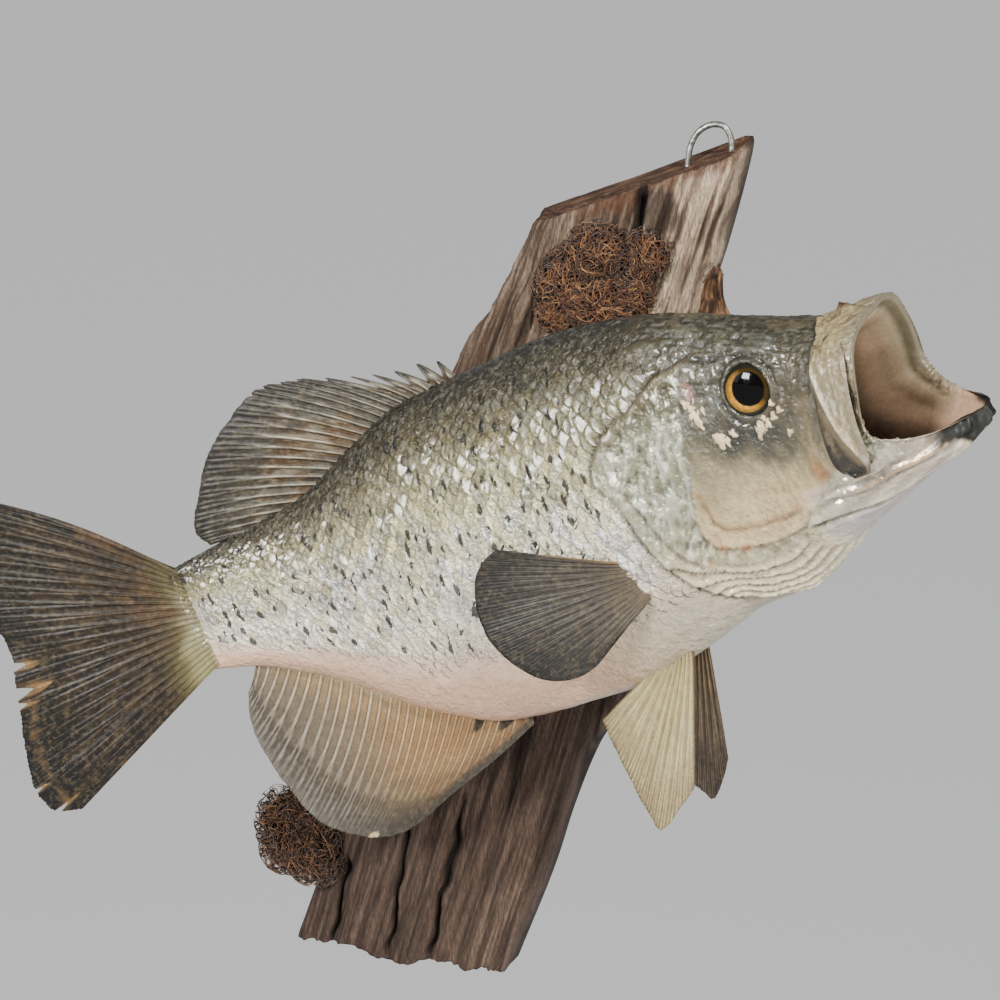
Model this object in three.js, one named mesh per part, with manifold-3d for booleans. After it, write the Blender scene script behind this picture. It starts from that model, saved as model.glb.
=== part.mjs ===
// A mounted crappie (a deep-bodied panfish) on a weathered driftwood slab.
// Millimetres, +Z up. The wall is the plane Y = 0 (the flat back of the wood),
// everything stands in front of it at Y < 0, and the fish's head points to +X.
//
// The fish is laid out in its own curved coordinates:
//   s  distance behind the closed snout, along the spine curve
//   y  to the fish's left (far side, towards the wood) positive
//   z  towards the back of the fish positive
// Every piece of the fish is made in (s, y, z) and carried to the model frame by P().
import * as THREE from 'three';
import { mergeVertices } from 'three/addons/utils/BufferGeometryUtils.js';
import Module from 'manifold-3d';

const wasm = await Module();
wasm.setup();

// ---------- driving dimensions ----------
const GAP = 0.3;                 // clearance between touching pieces
const SPINE_S = 160;             // station where the spine passes SPINE_AT
const SPINE_AT = [2, -62, -10];
const SPINE_PITCH = 22;          // degrees, head up
const SPINE_KNOTS = [-60, 0, 60, 110, 160, 210, 260, 300, 400];
const SPINE_YAW = [22, 20, 12, 10, 6, -1, -9, -15, -18];   // degrees, bend of the body from the head to the tail
const SPINE_ROLL = [21, 20, 11, 5, 0, 0, 0, 0, 0];         // degrees, twist of the head
const TAIL_END = 300;            // end of the fleshy body
const HEAD_PLANE = 50;           // last flat section, behind the jaw joint
const EYE = { s: 34.8, z: 25.6, y: 17.2, rim: 9.1, dome: 3.4, depth: 5 };
const WOOD = { bottom: -214, thick: 25, swell: 14, undercut: 5, cutLow: [-12.8, 99], cutHigh: [71.5, 129], cutTilt: 11 };
const LOOP = { wire: 1.15, width: 16.5, rise: 12, y: -11 };

// ---------- small numeric helpers ----------
const rad = (d) => d * Math.PI / 180;
const clamp = (x, a, b) => Math.min(b, Math.max(a, x));
const mix = (a, b, t) => a + (b - a) * t;
const smooth = (a, b, x) => { const t = clamp((x - a) / (b - a), 0, 1); return t * t * (3 - 2 * t); };

function linear(xs, ys, x) {
  if (x <= xs[0]) return ys[0];
  for (let i = 1; i < xs.length; i++) {
    if (x <= xs[i]) return mix(ys[i - 1], ys[i], (x - xs[i - 1]) / (xs[i] - xs[i - 1]));
  }
  return ys[ys.length - 1];
}

// smooth curve through a small table, without overshoot
function curve(xs, ys) {
  const n = xs.length, d = [], m = [];
  for (let i = 0; i < n - 1; i++) d.push((ys[i + 1] - ys[i]) / (xs[i + 1] - xs[i]));
  for (let i = 0; i < n; i++) {
    if (i === 0) m.push(d[0]);
    else if (i === n - 1) m.push(d[n - 2]);
    else if (d[i - 1] * d[i] <= 0) m.push(0);
    else {
      const h0 = xs[i] - xs[i - 1], h1 = xs[i + 1] - xs[i];
      const w1 = 2 * h1 + h0, w2 = h1 + 2 * h0;
      m.push((w1 + w2) / (w1 / d[i - 1] + w2 / d[i]));
    }
  }
  return (x) => {
    if (x <= xs[0]) return ys[0] + m[0] * (x - xs[0]);
    if (x >= xs[n - 1]) return ys[n - 1] + m[n - 1] * (x - xs[n - 1]);
    let i = 1;
    while (x > xs[i]) i++;
    const h = xs[i] - xs[i - 1], t = (x - xs[i - 1]) / h, t2 = t * t, t3 = t2 * t;
    return (2 * t3 - 3 * t2 + 1) * ys[i - 1] + (t3 - 2 * t2 + t) * h * m[i - 1]
      + (-2 * t3 + 3 * t2) * ys[i] + (t3 - t2) * h * m[i];
  };
}

// Catmull-Rom through points of any dimension, t from 0 to 1
function through(points, t) {
  const n = points.length - 1, x = clamp(t, 0, 1) * n, i = Math.min(Math.floor(x), n - 1), f = x - i;
  const p1 = points[i], p2 = points[i + 1];
  const p0 = i > 0 ? points[i - 1] : p1.map((v, k) => 2 * v - p2[k]);
  const p3 = i < n - 1 ? points[i + 2] : p2.map((v, k) => 2 * v - p1[k]);
  return p1.map((v, k) => 0.5 * (2 * v + (p2[k] - p0[k]) * f + (2 * p0[k] - 5 * v + 4 * p2[k] - p3[k]) * f * f
    + (3 * v - p0[k] - 3 * p2[k] + p3[k]) * f * f * f));
}

// ---------- the spine ----------
function frame(s) {
  const y = rad(linear(SPINE_KNOTS, SPINE_YAW, s)), p = rad(SPINE_PITCH), r = rad(linear(SPINE_KNOTS, SPINE_ROLL, s));
  const fwd = new THREE.Vector3(Math.cos(p) * Math.cos(y), -Math.cos(p) * Math.sin(y), Math.sin(p));
  const lat = new THREE.Vector3(Math.sin(y), Math.cos(y), 0);
  const dor = new THREE.Vector3().crossVectors(fwd, lat);
  const left = lat.clone().multiplyScalar(Math.cos(r)).addScaledVector(dor, Math.sin(r));
  const up = dor.clone().multiplyScalar(Math.cos(r)).addScaledVector(lat, -Math.sin(r));
  return { fwd, left, up };
}
const SPINE_FROM = -60, SPINE_TO = 420;
const centres = [new THREE.Vector3()];
for (let s = SPINE_FROM + 1; s <= SPINE_TO; s++) {
  const step = frame(s - 0.5).fwd.multiplyScalar(-1);
  centres.push(centres[centres.length - 1].clone().add(step));
}
const spineShift = new THREE.Vector3(...SPINE_AT).sub(centres[SPINE_S - SPINE_FROM]);
centres.forEach((c) => c.add(spineShift));
function centre(s) {
  const x = clamp(s - SPINE_FROM, 0, centres.length - 1.001), i = Math.floor(x);
  return centres[i].clone().lerp(centres[i + 1], x - i);
}
function P(s, y, z) {
  const f = frame(s);
  return centre(s).addScaledVector(f.left, y).addScaledVector(f.up, z);
}

// ---------- the body's outline ----------
const backLine = curve([50, 75, 92, 110, 129, 148, 160, 173, 187, 201, 218, 240, 266, 282, 300],
  [51.3, 58.2, 60.7, 62, 61.6, 60, 59.2, 58, 56.2, 51.6, 44, 35, 31, 28.6, 26]);
const bellyLine = curve([50, 60, 72, 86, 105, 132, 149, 167, 181, 194, 209, 224, 238, 252, 266, 281, 300],
  [-54, -55, -56, -60.6, -67.2, -73.1, -73.4, -73.8, -73.4, -71.5, -65.6, -57.9, -48, -38.2, -30.2, -23, -18]);
const halfWidth = curve([50, 60, 80, 100, 125, 150, 170, 190, 210, 230, 250, 270, 285, 300],
  [22.3, 23.3, 25.2, 26.6, 27.2, 27.2, 26.4, 24.6, 21.6, 17.8, 13.6, 9.8, 7.4, 5]);
const widestAt = curve([50, 110, 180, 240, 300], [0, -3, -4, -4, 3]);

// flat section at s; u goes 0 (back) - 1 (belly) on the right side and 1 - 2 on the left
function section(s, u) {
  const a = Math.PI * (u <= 1 ? u : 2 - u), c = Math.cos(a), sn = Math.max(0, Math.sin(a));
  const power = mix(1.16, 0.98, (1 - c) / 2);
  const zc = widestAt(s);
  const z = zc + (c > 0 ? (backLine(s) - zc) : (zc - bellyLine(s))) * c;
  return [s, (u <= 1 ? -1 : 1) * halfWidth(s) * Math.pow(sn, power), z];
}

// Head loops, right side halves from the back ridge to the belly, [s, half width, z].
const LOOPS = {
  brow: [[27.5, 0, 43.4], [27.5, 8.5, 40.8], [28, 15.2, 33.2], [29.5, 19.4, 18], [31, 21.8, 0], [29.5, 22.2, -17], [23, 19.6, -30], [16, 11, -35.6], [12, 0, -32.8]],
  snout: [[8, 0, 37.7], [8.6, 8.6, 35.6], [10.5, 16.2, 29.2], [14, 20.6, 16], [16.5, 22.8, 0], [11.5, 23, -13.6], [-1, 18.8, -20.6], [-11, 10, -24.2], [-17, 0, -22]],
  cheek: [[-6, 0, 37], [-4.8, 10, 35.8], [-2.8, 18.6, 31], [0.3, 23.2, 17.5], [2.4, 25.2, 2], [-4.5, 23.4, -8.6], [-17, 17, -14], [-28.5, 9, -15.9], [-35.6, 0, -15]],
  rim: [[-15.4, 0, 36.8], [-14.8, 10.5, 35.8], [-13.2, 19.2, 30.6], [-10.4, 24.4, 17.5], [-7.6, 26.4, 3.4], [-13, 21.8, -2.8], [-22, 15.4, -6.4], [-31.5, 8.2, -6.9], [-37.4, 0, -7.2]],
  lip: [[-14.2, 0, 33.6], [-13.4, 9.2, 32.8], [-11.4, 16.8, 28.2], [-8.4, 21.6, 16.6], [-5.4, 23, 3], [-11.4, 19, -4.2], [-20.2, 13, -8.2], [-28.6, 6.8, -8.9], [-33.4, 0, -9]],
  palate: [[0, 0, 29], [1, 8, 28], [3, 14.5, 24], [6, 18, 13.5], [8.5, 19.2, 1.5], [1, 18.2, -7.6], [-10, 13, -13], [-19.5, 7, -14.8], [-26, 0, -13.2]],
  gullet: [[21, 0, 25], [21, 6.5, 24], [22, 11.5, 20], [24, 14.5, 11], [26, 15.5, 0], [21, 15, -9], [12, 12, -16.6], [3, 7, -20], [-3, 0, -18.6]],
  throat: [[44, 0, 13], [44, 4.5, 12], [44, 8, 9], [45, 10, 3], [46, 10, -4], [45, 9, -10], [43, 7, -14], [41, 4, -16], [40, 0, -16.5]],
};
const THROAT_END = [50, 0, -3];

function loopPoint(name, u) {
  const half = LOOPS[name], v = u <= 1 ? u : 2 - u;
  const mirror = (p) => [p[0], -p[1], p[2]];
  const pts = [mirror(half[1]), ...half, mirror(half[7])];
  const x = v * 8 + 1, i = Math.min(Math.floor(x), 8), f = x - i;
  const [p0, p1, p2, p3] = [pts[i - 1], pts[i], pts[i + 1], pts[i + 2]];
  const q = p1.map((w, k) => 0.5 * (2 * w + (p2[k] - p0[k]) * f + (2 * p0[k] - 5 * w + 4 * p2[k] - p3[k]) * f * f
    + (3 * w - p0[k] - 3 * p2[k] + p3[k]) * f * f * f));
  return [q[0], (u <= 1 ? -1 : 1) * Math.max(0, q[1]), q[2]];
}

// Rows of the head between the flat section and the rim of the mouth, placed at HEAD_T.
const HEAD_T = [-10, 0, 20, 36, 51, 60];
function headRow(t, u) {
  const keys = [section(HEAD_PLANE + 10, u), section(HEAD_PLANE, u),
    ...['brow', 'snout', 'cheek', 'rim'].map((n) => loopPoint(n, u))];
  let i = 1;
  while (i < HEAD_T.length - 1 && t > HEAD_T[i]) i++;
  const x0 = HEAD_T[i - 1], x1 = HEAD_T[i], h = x1 - x0, f = (t - x0) / h;
  const slope = (j, k) => {
    const a = Math.max(j - 1, 0), b = Math.min(j + 1, HEAD_T.length - 1);
    return (keys[b][k] - keys[a][k]) / (HEAD_T[b] - HEAD_T[a]);
  };
  return keys[i].map((_, k) => {
    const f2 = f * f, f3 = f2 * f;
    return (2 * f3 - 3 * f2 + 1) * keys[i - 1][k] + (f3 - 2 * f2 + f) * h * slope(i - 1, k)
      + (-2 * f3 + 3 * f2) * keys[i][k] + (f3 - f2) * h * slope(i, k);
  });
}

// ---------- meshes ----------
function meshOf(points, faces) {
  const g = new THREE.BufferGeometry();
  const xyz = new Float32Array(points.length * 3);
  points.forEach((p, i) => xyz.set([p.x, p.y, p.z], 3 * i));
  g.setAttribute('position', new THREE.BufferAttribute(xyz, 3));
  g.setIndex(faces);
  return facingOut(g);
}
function volumeOf(g) {
  const p = g.attributes.position, ix = g.index.array;
  const a = new THREE.Vector3(), b = new THREE.Vector3(), c = new THREE.Vector3();
  let v = 0;
  for (let i = 0; i < ix.length; i += 3) {
    a.fromBufferAttribute(p, ix[i]); b.fromBufferAttribute(p, ix[i + 1]); c.fromBufferAttribute(p, ix[i + 2]);
    v += a.dot(b.cross(c)) / 6;
  }
  return v;
}
function facingOut(g) {
  if (volumeOf(g) < 0) {
    const ix = Array.from(g.index.array);
    for (let i = 0; i < ix.length; i += 3) [ix[i + 1], ix[i + 2]] = [ix[i + 2], ix[i + 1]];
    g.setIndex(ix);
  }
  return g;
}
function solid(g) {
  const c = g.clone();
  c.deleteAttribute('normal'); c.deleteAttribute('uv');
  const m = mergeVertices(c, 1e-4);
  return new wasm.Manifold(new wasm.Mesh({
    numProp: 3, vertProperties: new Float32Array(m.attributes.position.array), triVerts: new Uint32Array(m.index.array),
  }));
}
function geometry(man) {
  const m = man.getMesh(), g = new THREE.BufferGeometry();
  const n = m.vertProperties.length / m.numProp, xyz = new Float32Array(n * 3);
  for (let i = 0; i < n; i++) for (let k = 0; k < 3; k++) xyz[3 * i + k] = m.vertProperties[i * m.numProp + k];
  g.setAttribute('position', new THREE.BufferAttribute(xyz, 3));
  g.setIndex(Array.from(m.triVerts));
  return g;
}
// every vertex moved out along its normal
function grown(g, d) {
  const c = g.clone();
  c.deleteAttribute('normal'); c.deleteAttribute('uv');
  const m = mergeVertices(c, 1e-4);
  m.computeVertexNormals();
  const p = m.attributes.position, n = m.attributes.normal;
  for (let i = 0; i < p.count; i++) {
    p.setXYZ(i, p.getX(i) + n.getX(i) * d, p.getY(i) + n.getY(i) * d, p.getZ(i) + n.getZ(i) * d);
  }
  return m;
}
const grownSolid = (g, d = GAP) => solid(grown(g, d));
const largest = (man) => man.decompose().sort((a, b) => b.volume() - a.volume())[0];

// closed tube of rows with the same number of points each, and a point at either end
function tube(rows, first, last) {
  const n = rows[0].length, pts = [first, ...rows.flat(), last], faces = [];
  const at = (r, i) => 1 + r * n + (i % n);
  for (let i = 0; i < n; i++) {
    faces.push(0, at(0, i + 1), at(0, i));
    for (let r = 0; r < rows.length - 1; r++) {
      faces.push(at(r, i), at(r, i + 1), at(r + 1, i + 1), at(r, i), at(r + 1, i + 1), at(r + 1, i));
    }
    faces.push(at(rows.length - 1, i), at(rows.length - 1, i + 1), pts.length - 1);
  }
  return meshOf(pts, faces);
}

// closed thick sheet over a grid; place(i, j, side) gives the point, side is -1 or 1
function sheet(ni, nj, place) {
  const pts = [], faces = [], at = (k, i, j) => k * (ni + 1) * (nj + 1) + i * (nj + 1) + j;
  for (const side of [-1, 1]) for (let i = 0; i <= ni; i++) for (let j = 0; j <= nj; j++) pts.push(place(i, j, side));
  for (let i = 0; i < ni; i++) {
    for (let j = 0; j < nj; j++) {
      faces.push(at(0, i, j), at(0, i + 1, j), at(0, i + 1, j + 1), at(0, i, j), at(0, i + 1, j + 1), at(0, i, j + 1));
      faces.push(at(1, i, j), at(1, i + 1, j + 1), at(1, i + 1, j), at(1, i, j), at(1, i, j + 1), at(1, i + 1, j + 1));
    }
  }
  const edge = (a, b) => faces.push(at(0, ...a), at(1, ...b), at(0, ...b), at(0, ...a), at(1, ...a), at(1, ...b));
  for (let i = 0; i < ni; i++) { edge([i, 0], [i + 1, 0]); edge([i + 1, nj], [i, nj]); }
  for (let j = 0; j < nj; j++) { edge([0, j + 1], [0, j]); edge([ni, j], [ni, j + 1]); }
  return meshOf(pts, faces);
}

// prism over an outline in (s, z), from y0 to y1
function prism(outlineIn, y0, y1) {
  const outline = THREE.ShapeUtils.isClockWise(outlineIn.map(([s, z]) => new THREE.Vector2(s, z))) ? outlineIn.slice().reverse() : outlineIn;
  const tri = THREE.ShapeUtils.triangulateShape(outline.map(([s, z]) => new THREE.Vector2(s, z)), []);
  const n = outline.length, pts = [], faces = [];
  for (const y of [y0, y1]) for (const [s, z] of outline) pts.push(P(s, y, z));
  for (const [a, b, c] of tri) faces.push(a, b, c, n + a, n + c, n + b);
  for (let i = 0; i < n; i++) { const j = (i + 1) % n; faces.push(i, n + j, j, i, n + i, n + j); }
  const g = meshOf(pts, faces);
  return g;
}
// thin cut along a line in (s, z)
function cut(line, y0 = -60, y1 = 60, width = GAP) {
  const a = [], b = [];
  line.forEach(([s, z], i) => {
    const p = line[Math.max(i - 1, 0)], q = line[Math.min(i + 1, line.length - 1)];
    const dx = q[0] - p[0], dz = q[1] - p[1], l = Math.hypot(dx, dz);
    a.push([s - dz / l * width / 2, z + dx / l * width / 2]);
    b.push([s + dz / l * width / 2, z - dx / l * width / 2]);
  });
  return sheet(line.length - 1, 6, (i, j, side) => { const p = (side < 0 ? a : b)[i]; return P(p[0], mix(y0, y1, j / 6), p[1]); });
}

// ---------- the whole body, mouth cavity and all ----------
const AROUND = 28;
const ring = (fn) => Array.from({ length: AROUND }, (_, k) => P(...fn(2 * k / AROUND)));
const rows = [];
for (const s of [300, 296, 287, 276, 264, 252, 240, 228, 216, 204, 192, 179, 165, 150, 134, 118, 103, 89, 76, 63, 50]) {
  rows.push(ring((u) => section(s, u)));
}
for (const t of [10, 20, 28, 36, 43.5, 51, 56, 60]) rows.push(ring((u) => headRow(t, u)));
for (const name of ['lip', 'palate', 'gullet', 'throat']) rows.push(ring((u) => loopPoint(name, u)));
const bodyGeometry = tube(rows, P(TAIL_END + 0.4, 0, 4), P(...THROAT_END));
const bodyGrown = grownSolid(bodyGeometry);

// eyes: glass domes on short backs, looking out and a little forward
function eyeGeometry(sideSign) {
  const { rim, dome, depth } = EYE, steps = 3, profile = [new THREE.Vector2(0, -depth), new THREE.Vector2(rim * 0.8, -depth), new THREE.Vector2(rim, -depth * 0.5)];
  for (let i = 0; i <= steps; i++) {
    const a = (i / steps) * Math.PI / 2;
    profile.push(new THREE.Vector2(i === steps ? 0 : rim * Math.cos(a), dome * Math.sin(a)));
  }
  const g = new THREE.LatheGeometry(profile, 14);           // axis along +Y
  const f = frame(EYE.s);
  const out = f.left.clone().multiplyScalar(sideSign).addScaledVector(f.fwd, 0.16).addScaledVector(f.up, 0.2).normalize();
  const q = new THREE.Quaternion().setFromUnitVectors(new THREE.Vector3(0, 1, 0), out);
  const at = P(EYE.s, sideSign * EYE.y, EYE.z);
  g.applyMatrix4(new THREE.Matrix4().compose(at, q, new THREE.Vector3(1, 1, 1)));
  g.deleteAttribute('normal'); g.deleteAttribute('uv');
  return facingOut(mergeVertices(g, 1e-4));
}
const eyeRight = eyeGeometry(-1), eyeLeft = eyeGeometry(1);

// upper jaw plates: the long bone that hangs beside the corner of the mouth on each side
const MAXILLA_FRONT = [[-8.8, 33], [-9.8, 30], [-9.4, 25], [-7.8, 17], [-6.6, 10], [-5.8, 3], [-4.8, -4], [-2.2, -9.6]];
const MAXILLA_REAR = [[0.8, 33], [2.9, 30], [5, 25.4], [7.6, 16.9], [9.4, 8], [10.9, -1.5], [10.2, -6.8], [5, -10.9]];
const maxillaOut = curve([-12, -4, 3, 17, 25, 30, 33], [27.6, 28.6, 28.6, 26.4, 24, 21.2, 18.4]);
function maxillaGeometry(sideSign) {
  return sheet(8, 3, (i, j, side) => {
    const a = through(MAXILLA_FRONT, i / 8), b = through(MAXILLA_REAR, i / 8), t = j / 3;
    const s = mix(a[0], b[0], t), z = mix(a[1], b[1], t);
    const crown = 0.9 * Math.sin(Math.PI * t) * Math.sin(Math.PI * mix(0.12, 0.88, i / 8));
    const outer = maxillaOut(z) - 0.1 * (s - a[0]) + crown;
    const thick = mix(1.4, 2.6, Math.sin(Math.PI * clamp(i / 8, 0.06, 0.94)));
    return P(s, sideSign * (side < 0 ? outer - thick : outer), z);
  });
}
const maxillaRight = maxillaGeometry(-1), maxillaLeft = maxillaGeometry(1);

// ---------- dividing the body ----------
const TAIL_CUT = 262;
const headLine = [[58, 84], [61, 62], [66, 46], [72, 38.5], [81.3, 33], [90, 27.6], [96.1, 23.4], [102.4, 16.4], [106.4, 9], [102, 2.4], [99.4, -8], [98.2, -18], [97.6, -29], [96, -38], [90, -50], [84, -90]];
const jawLine = [[-22, 7], [-8, 4], [4, -1.5], [14, -8.5], [24, -16], [32.5, -21], [36, -28], [34.5, -36], [29, -48], [20, -60]];
const cutAll = [
  cut([[TAIL_CUT, 80], [TAIL_CUT, -80]]),
  cut(headLine),
  cut(jawLine),
].map(solid);
let whole = solid(bodyGeometry);
for (const e of [eyeRight, eyeLeft, maxillaRight, maxillaLeft]) whole = whole.subtract(grownSolid(e));
for (const c of cutAll) whole = whole.subtract(c);
const middleX = (m) => { const b = m.boundingBox(); return (b.min[0] + b.max[0]) / 2; };
const parts = whole.decompose().filter((m) => m.volume() > 150).sort((a, b) => middleX(a) - middleX(b));
if (parts.length !== 4) throw new Error('the body should fall into four pieces, not ' + parts.map((m) => m.volume().toFixed(0)).join(' '));
const [tailSolid, trunkSolid, headWhole, jawSolid] = parts;

// gill covers: the plates between the cheek ridge and the gill opening
const GILL = [[56.8, 29.6], [61, 18], [64.6, 8], [68, -3], [72.6, -14], [77.4, -27], [80, -35], [97, -42], [108, -34], [112, -6], [118, 8], [108, 24], [92, 36], [72, 46], [60, 41]];
const GILL_DEPTH = 15.5;
const gillPrism = (sideSign, d) => solid(grown(prism(GILL, sideSign * GILL_DEPTH, sideSign * 45), d));
const gillRight = largest(headWhole.intersect(gillPrism(-1, 0)));
const gillLeft = largest(headWhole.intersect(gillPrism(1, 0)));
const headSolid = largest(headWhole.subtract(gillPrism(-1, GAP)).subtract(gillPrism(1, GAP)));

// ---------- fins ----------
// A fin is a thin web between a root line and a margin. Both are short tables,
// the web is thickest at the root, and every second row across stands as a ray.
function fin({ root, margin, ni, nj, thickRoot, thickEdge, notch, bow = 0, place, ripple = 0.22, crowd = 1 }) {
  return sheet(ni, nj, (i, j, side) => {
    const a = i / ni, b = Math.pow(j / nj, crowd);
    const r = through(root, a), m = through(margin, a);
    const n = notch ? notch(i, a) : 0;
    const reach = b * (1 - n);
    const p = mix(r[0], m[0], reach) + bow * (m[1] - r[1]) * reach * (1 - reach);
    const q = mix(r[1], m[1], reach) - bow * (m[0] - r[0]) * reach * (1 - reach);
    const t = mix(thickRoot, thickEdge, Math.pow(b, 0.7)) / 2 + (i % 2 ? -ripple : ripple) * (1 - b) * 0.5;
    return place(p, q, side * Math.max(t, 0.28), a, b);
  });
}
const inFish = (lean) => (s, z, off, a, b) => P(s, off + lean(a, b), z);

const dorsalGeometry = fin({
  root: [[158, 52], [178, 51], [198, 46], [218, 37], [242, 27]],
  margin: [[161.5, 65.8], [171, 68.6], [182.5, 68.9], [195, 71], [209, 74.6], [224, 78.4], [240, 80], [255, 72], [267, 62.5], [276, 50], [283, 37.6], [279.5, 29.6]],
  ni: 21, nj: 3, thickRoot: 3.2, thickEdge: 0.8,
  notch: (i) => (i < 8 && i % 2 ? 0.3 : 0),
  place: inFish((a, b) => 1.6 * b * Math.sin(5 * a)),
});
const analGeometry = fin({
  root: [[178, -67], [200, -62], [224, -51], [250, -33], [279, -17]],
  margin: [[179, -76], [201.7, -86], [221.3, -93.4], [243.8, -102.8], [256.7, -105.2], [269, -102.4], [283, -92.8], [290.6, -76], [294.4, -56], [294.2, -43], [290, -31.6]],
  ni: 17, nj: 4, thickRoot: 3, thickEdge: 0.8, bow: 0.1,
  place: inFish((a, b) => -1.5 * b * Math.sin(4 * a + 1)),
});
const caudalGeometry = fin({
  root: [[298.5, 24.4], [298.5, 14], [298.5, 4], [298.5, -6], [298.5, -16.6]],
  margin: [[353, 76.5], [367, 75.8], [377, 66], [379, 51], [376, 35], [373.2, 20], [376, 5], [381, -10], [385.5, -24], [388, -38], [385.4, -49.4], [374, -53.6]],
  ni: 18, nj: 5, thickRoot: 5, thickEdge: 0.9, ripple: 0.3,
  place: (s, z, off, a, b) => {
    const spread = 7 * Math.sin(Math.PI * clamp(b, 0, 1)) * (0.5 - a) * Math.max(0, 1 - 1.7 * a);
    return P(s, off + 1.4 * b * b * Math.sin(7 * a), z + spread);
  },
});

function flatFrame(s, y, z, axis, across) {
  const o = P(s, y, z), ax = axis.clone().normalize();
  const ac = across.clone().addScaledVector(ax, -across.dot(ax)).normalize();
  const no = new THREE.Vector3().crossVectors(ax, ac);
  return (p, q, off) => o.clone().addScaledVector(ax, p).addScaledVector(ac, q).addScaledVector(no, off);
}
function pectoral(sideSign, tilt, spread) {
  const f = frame(110), t = rad(tilt);
  const axis = f.fwd.clone().multiplyScalar(-Math.cos(t)).addScaledVector(f.left, sideSign * Math.sin(t));
  const at = flatFrame(104, sideSign * 27, -33, axis, f.up);
  return fin({
    root: [[-4.5, 9], [-4.4, 6], [-4, 2.5], [-3.4, -1.5], [-2.6, -4.6]],
    margin: [[43, 31.5], [50, 28.5], [55.4, 22.6], [58.6, 13], [58.6, 3], [55.9, -4.6], [50.6, -13.2], [43.6, -19.6], [34, -22.4], [24, -20.4], [13, -13.2]],
    ni: 14, nj: 5, crowd: 1.45, thickRoot: 3, thickEdge: 0.8,
    place: (p, q, off, a, b) => at(p, q * spread, off - sideSign * (0.9 * Math.sin(9 * a) * b + 6.5 * Math.pow(1 - b, 8) - 1.5 * b * b)),
  });
}
const pectoralRight = pectoral(-1, 13, 1);
const pectoralLeft = pectoral(1, 1.2, 0.8);

function pelvic(sideSign, splay, table) {
  const f = frame(106), t = rad(splay);
  const down = f.up.clone().multiplyScalar(-Math.cos(t)).addScaledVector(f.left, sideSign * Math.sin(t));
  const at = flatFrame(106, sideSign * 8, -66, down, f.fwd);
  return fin({
    root: table.root, margin: table.margin,
    ni: 9, nj: 5, thickRoot: 2.8, thickEdge: 0.8,
    place: (p, q, off, a, b) => at(p, q, off + 0.8 * Math.sin(8 * a) * b),
  });
}
const pelvicRight = pelvic(-1, 22, {
  root: [[-5, 3.5], [-6, 1], [-6, -1.5], [-6, -4], [-5, -6.5]],
  margin: [[46, -7], [52, -14], [58.6, -23.4], [52.5, -27.4], [45.5, -30.7], [37, -33.6], [29.7, -36.2], [21, -38.6], [14, -40.5]],
});
const pelvicLeft = pelvic(1, 14, {
  root: [[-5, 3.5], [-6, 1.5], [-6, -1], [-6, -3.4], [-5, -6]],
  margin: [[50, -15.5], [57, -21], [66, -30], [62, -33], [57, -36], [49, -38.5], [40, -40.5], [30, -42], [20, -42.5]],
});

const rooted = (g) => largest(solid(g).subtract(bodyGrown));
// the web between the last soft rays and the body is trimmed with the body, so it never cuts into it

// ---------- driftwood ----------
const woodLeft = curve([-214, -178, -156, -110, -60, 0, 41, 55, 66, 77, 94, 102, 150], [-112, -99, -94, -85, -73, -53, -35.5, -29, -20, -15, -8, -6.4, 5]);
const woodRight = curve([-214, -169, -144, -116, -88, -36, 24, 73, 92, 125, 150], [-15, 1.6, 9, 19.5, 35.5, 47, 55, 63, 68.6, 76.6, 81]);
const WOOD_ACROSS = 14;
function woodPoint(z, k) {
  const t = k / WOOD_ACROSS, x0 = woodLeft(z), x1 = woodRight(z);
  const swell = WOOD.swell * Math.exp(-Math.pow((z + 18) / 62, 2));
  const lean = 0.3 * z;
  const x = mix(x0, x1, 0.5 - 0.5 * Math.cos(Math.PI * mix(0.0, 1, t)) * (0.86) - 0.5 * 0.14 * (1 - 2 * t));
  const arch = Math.pow(1 - Math.pow(Math.abs(2 * t - 1), 5), 0.45);
  const grain = 1.1 * Math.sin((x - lean) * 0.21) + 0.8 * Math.sin((x - lean) * 0.47 + z * 0.01) + 0.9 * Math.sin(z * 0.05 + x * 0.03);
  const y = -(WOOD.thick + swell + grain) * arch;
  return new THREE.Vector3(x, Math.min(y, 0), z);
}
const woodLevels = [];
for (let z = WOOD.bottom; z < 146; z += 20) woodLevels.push(z);
const woodRows = woodLevels.map((z) => Array.from({ length: WOOD_ACROSS + 1 }, (_, k) => {
  const p = woodPoint(z, k);
  const broken = z === WOOD.bottom ? 5 * Math.sin(k * 1.9) + 3 * Math.sin(k * 4.1) : 0;
  if (k === 0 || k === WOOD_ACROSS) { p.y = 0; p.x += (k ? -1 : 1) * WOOD.undercut; }
  p.z += broken;
  return p;
}));
const woodMid = (row) => row.reduce((a, p) => a.add(p), new THREE.Vector3()).multiplyScalar(1 / row.length);
const woodRaw = solid(tube(woodRows, woodMid(woodRows[0]).setY(-9), woodMid(woodRows[woodRows.length - 1]).setY(-9)));
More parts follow.
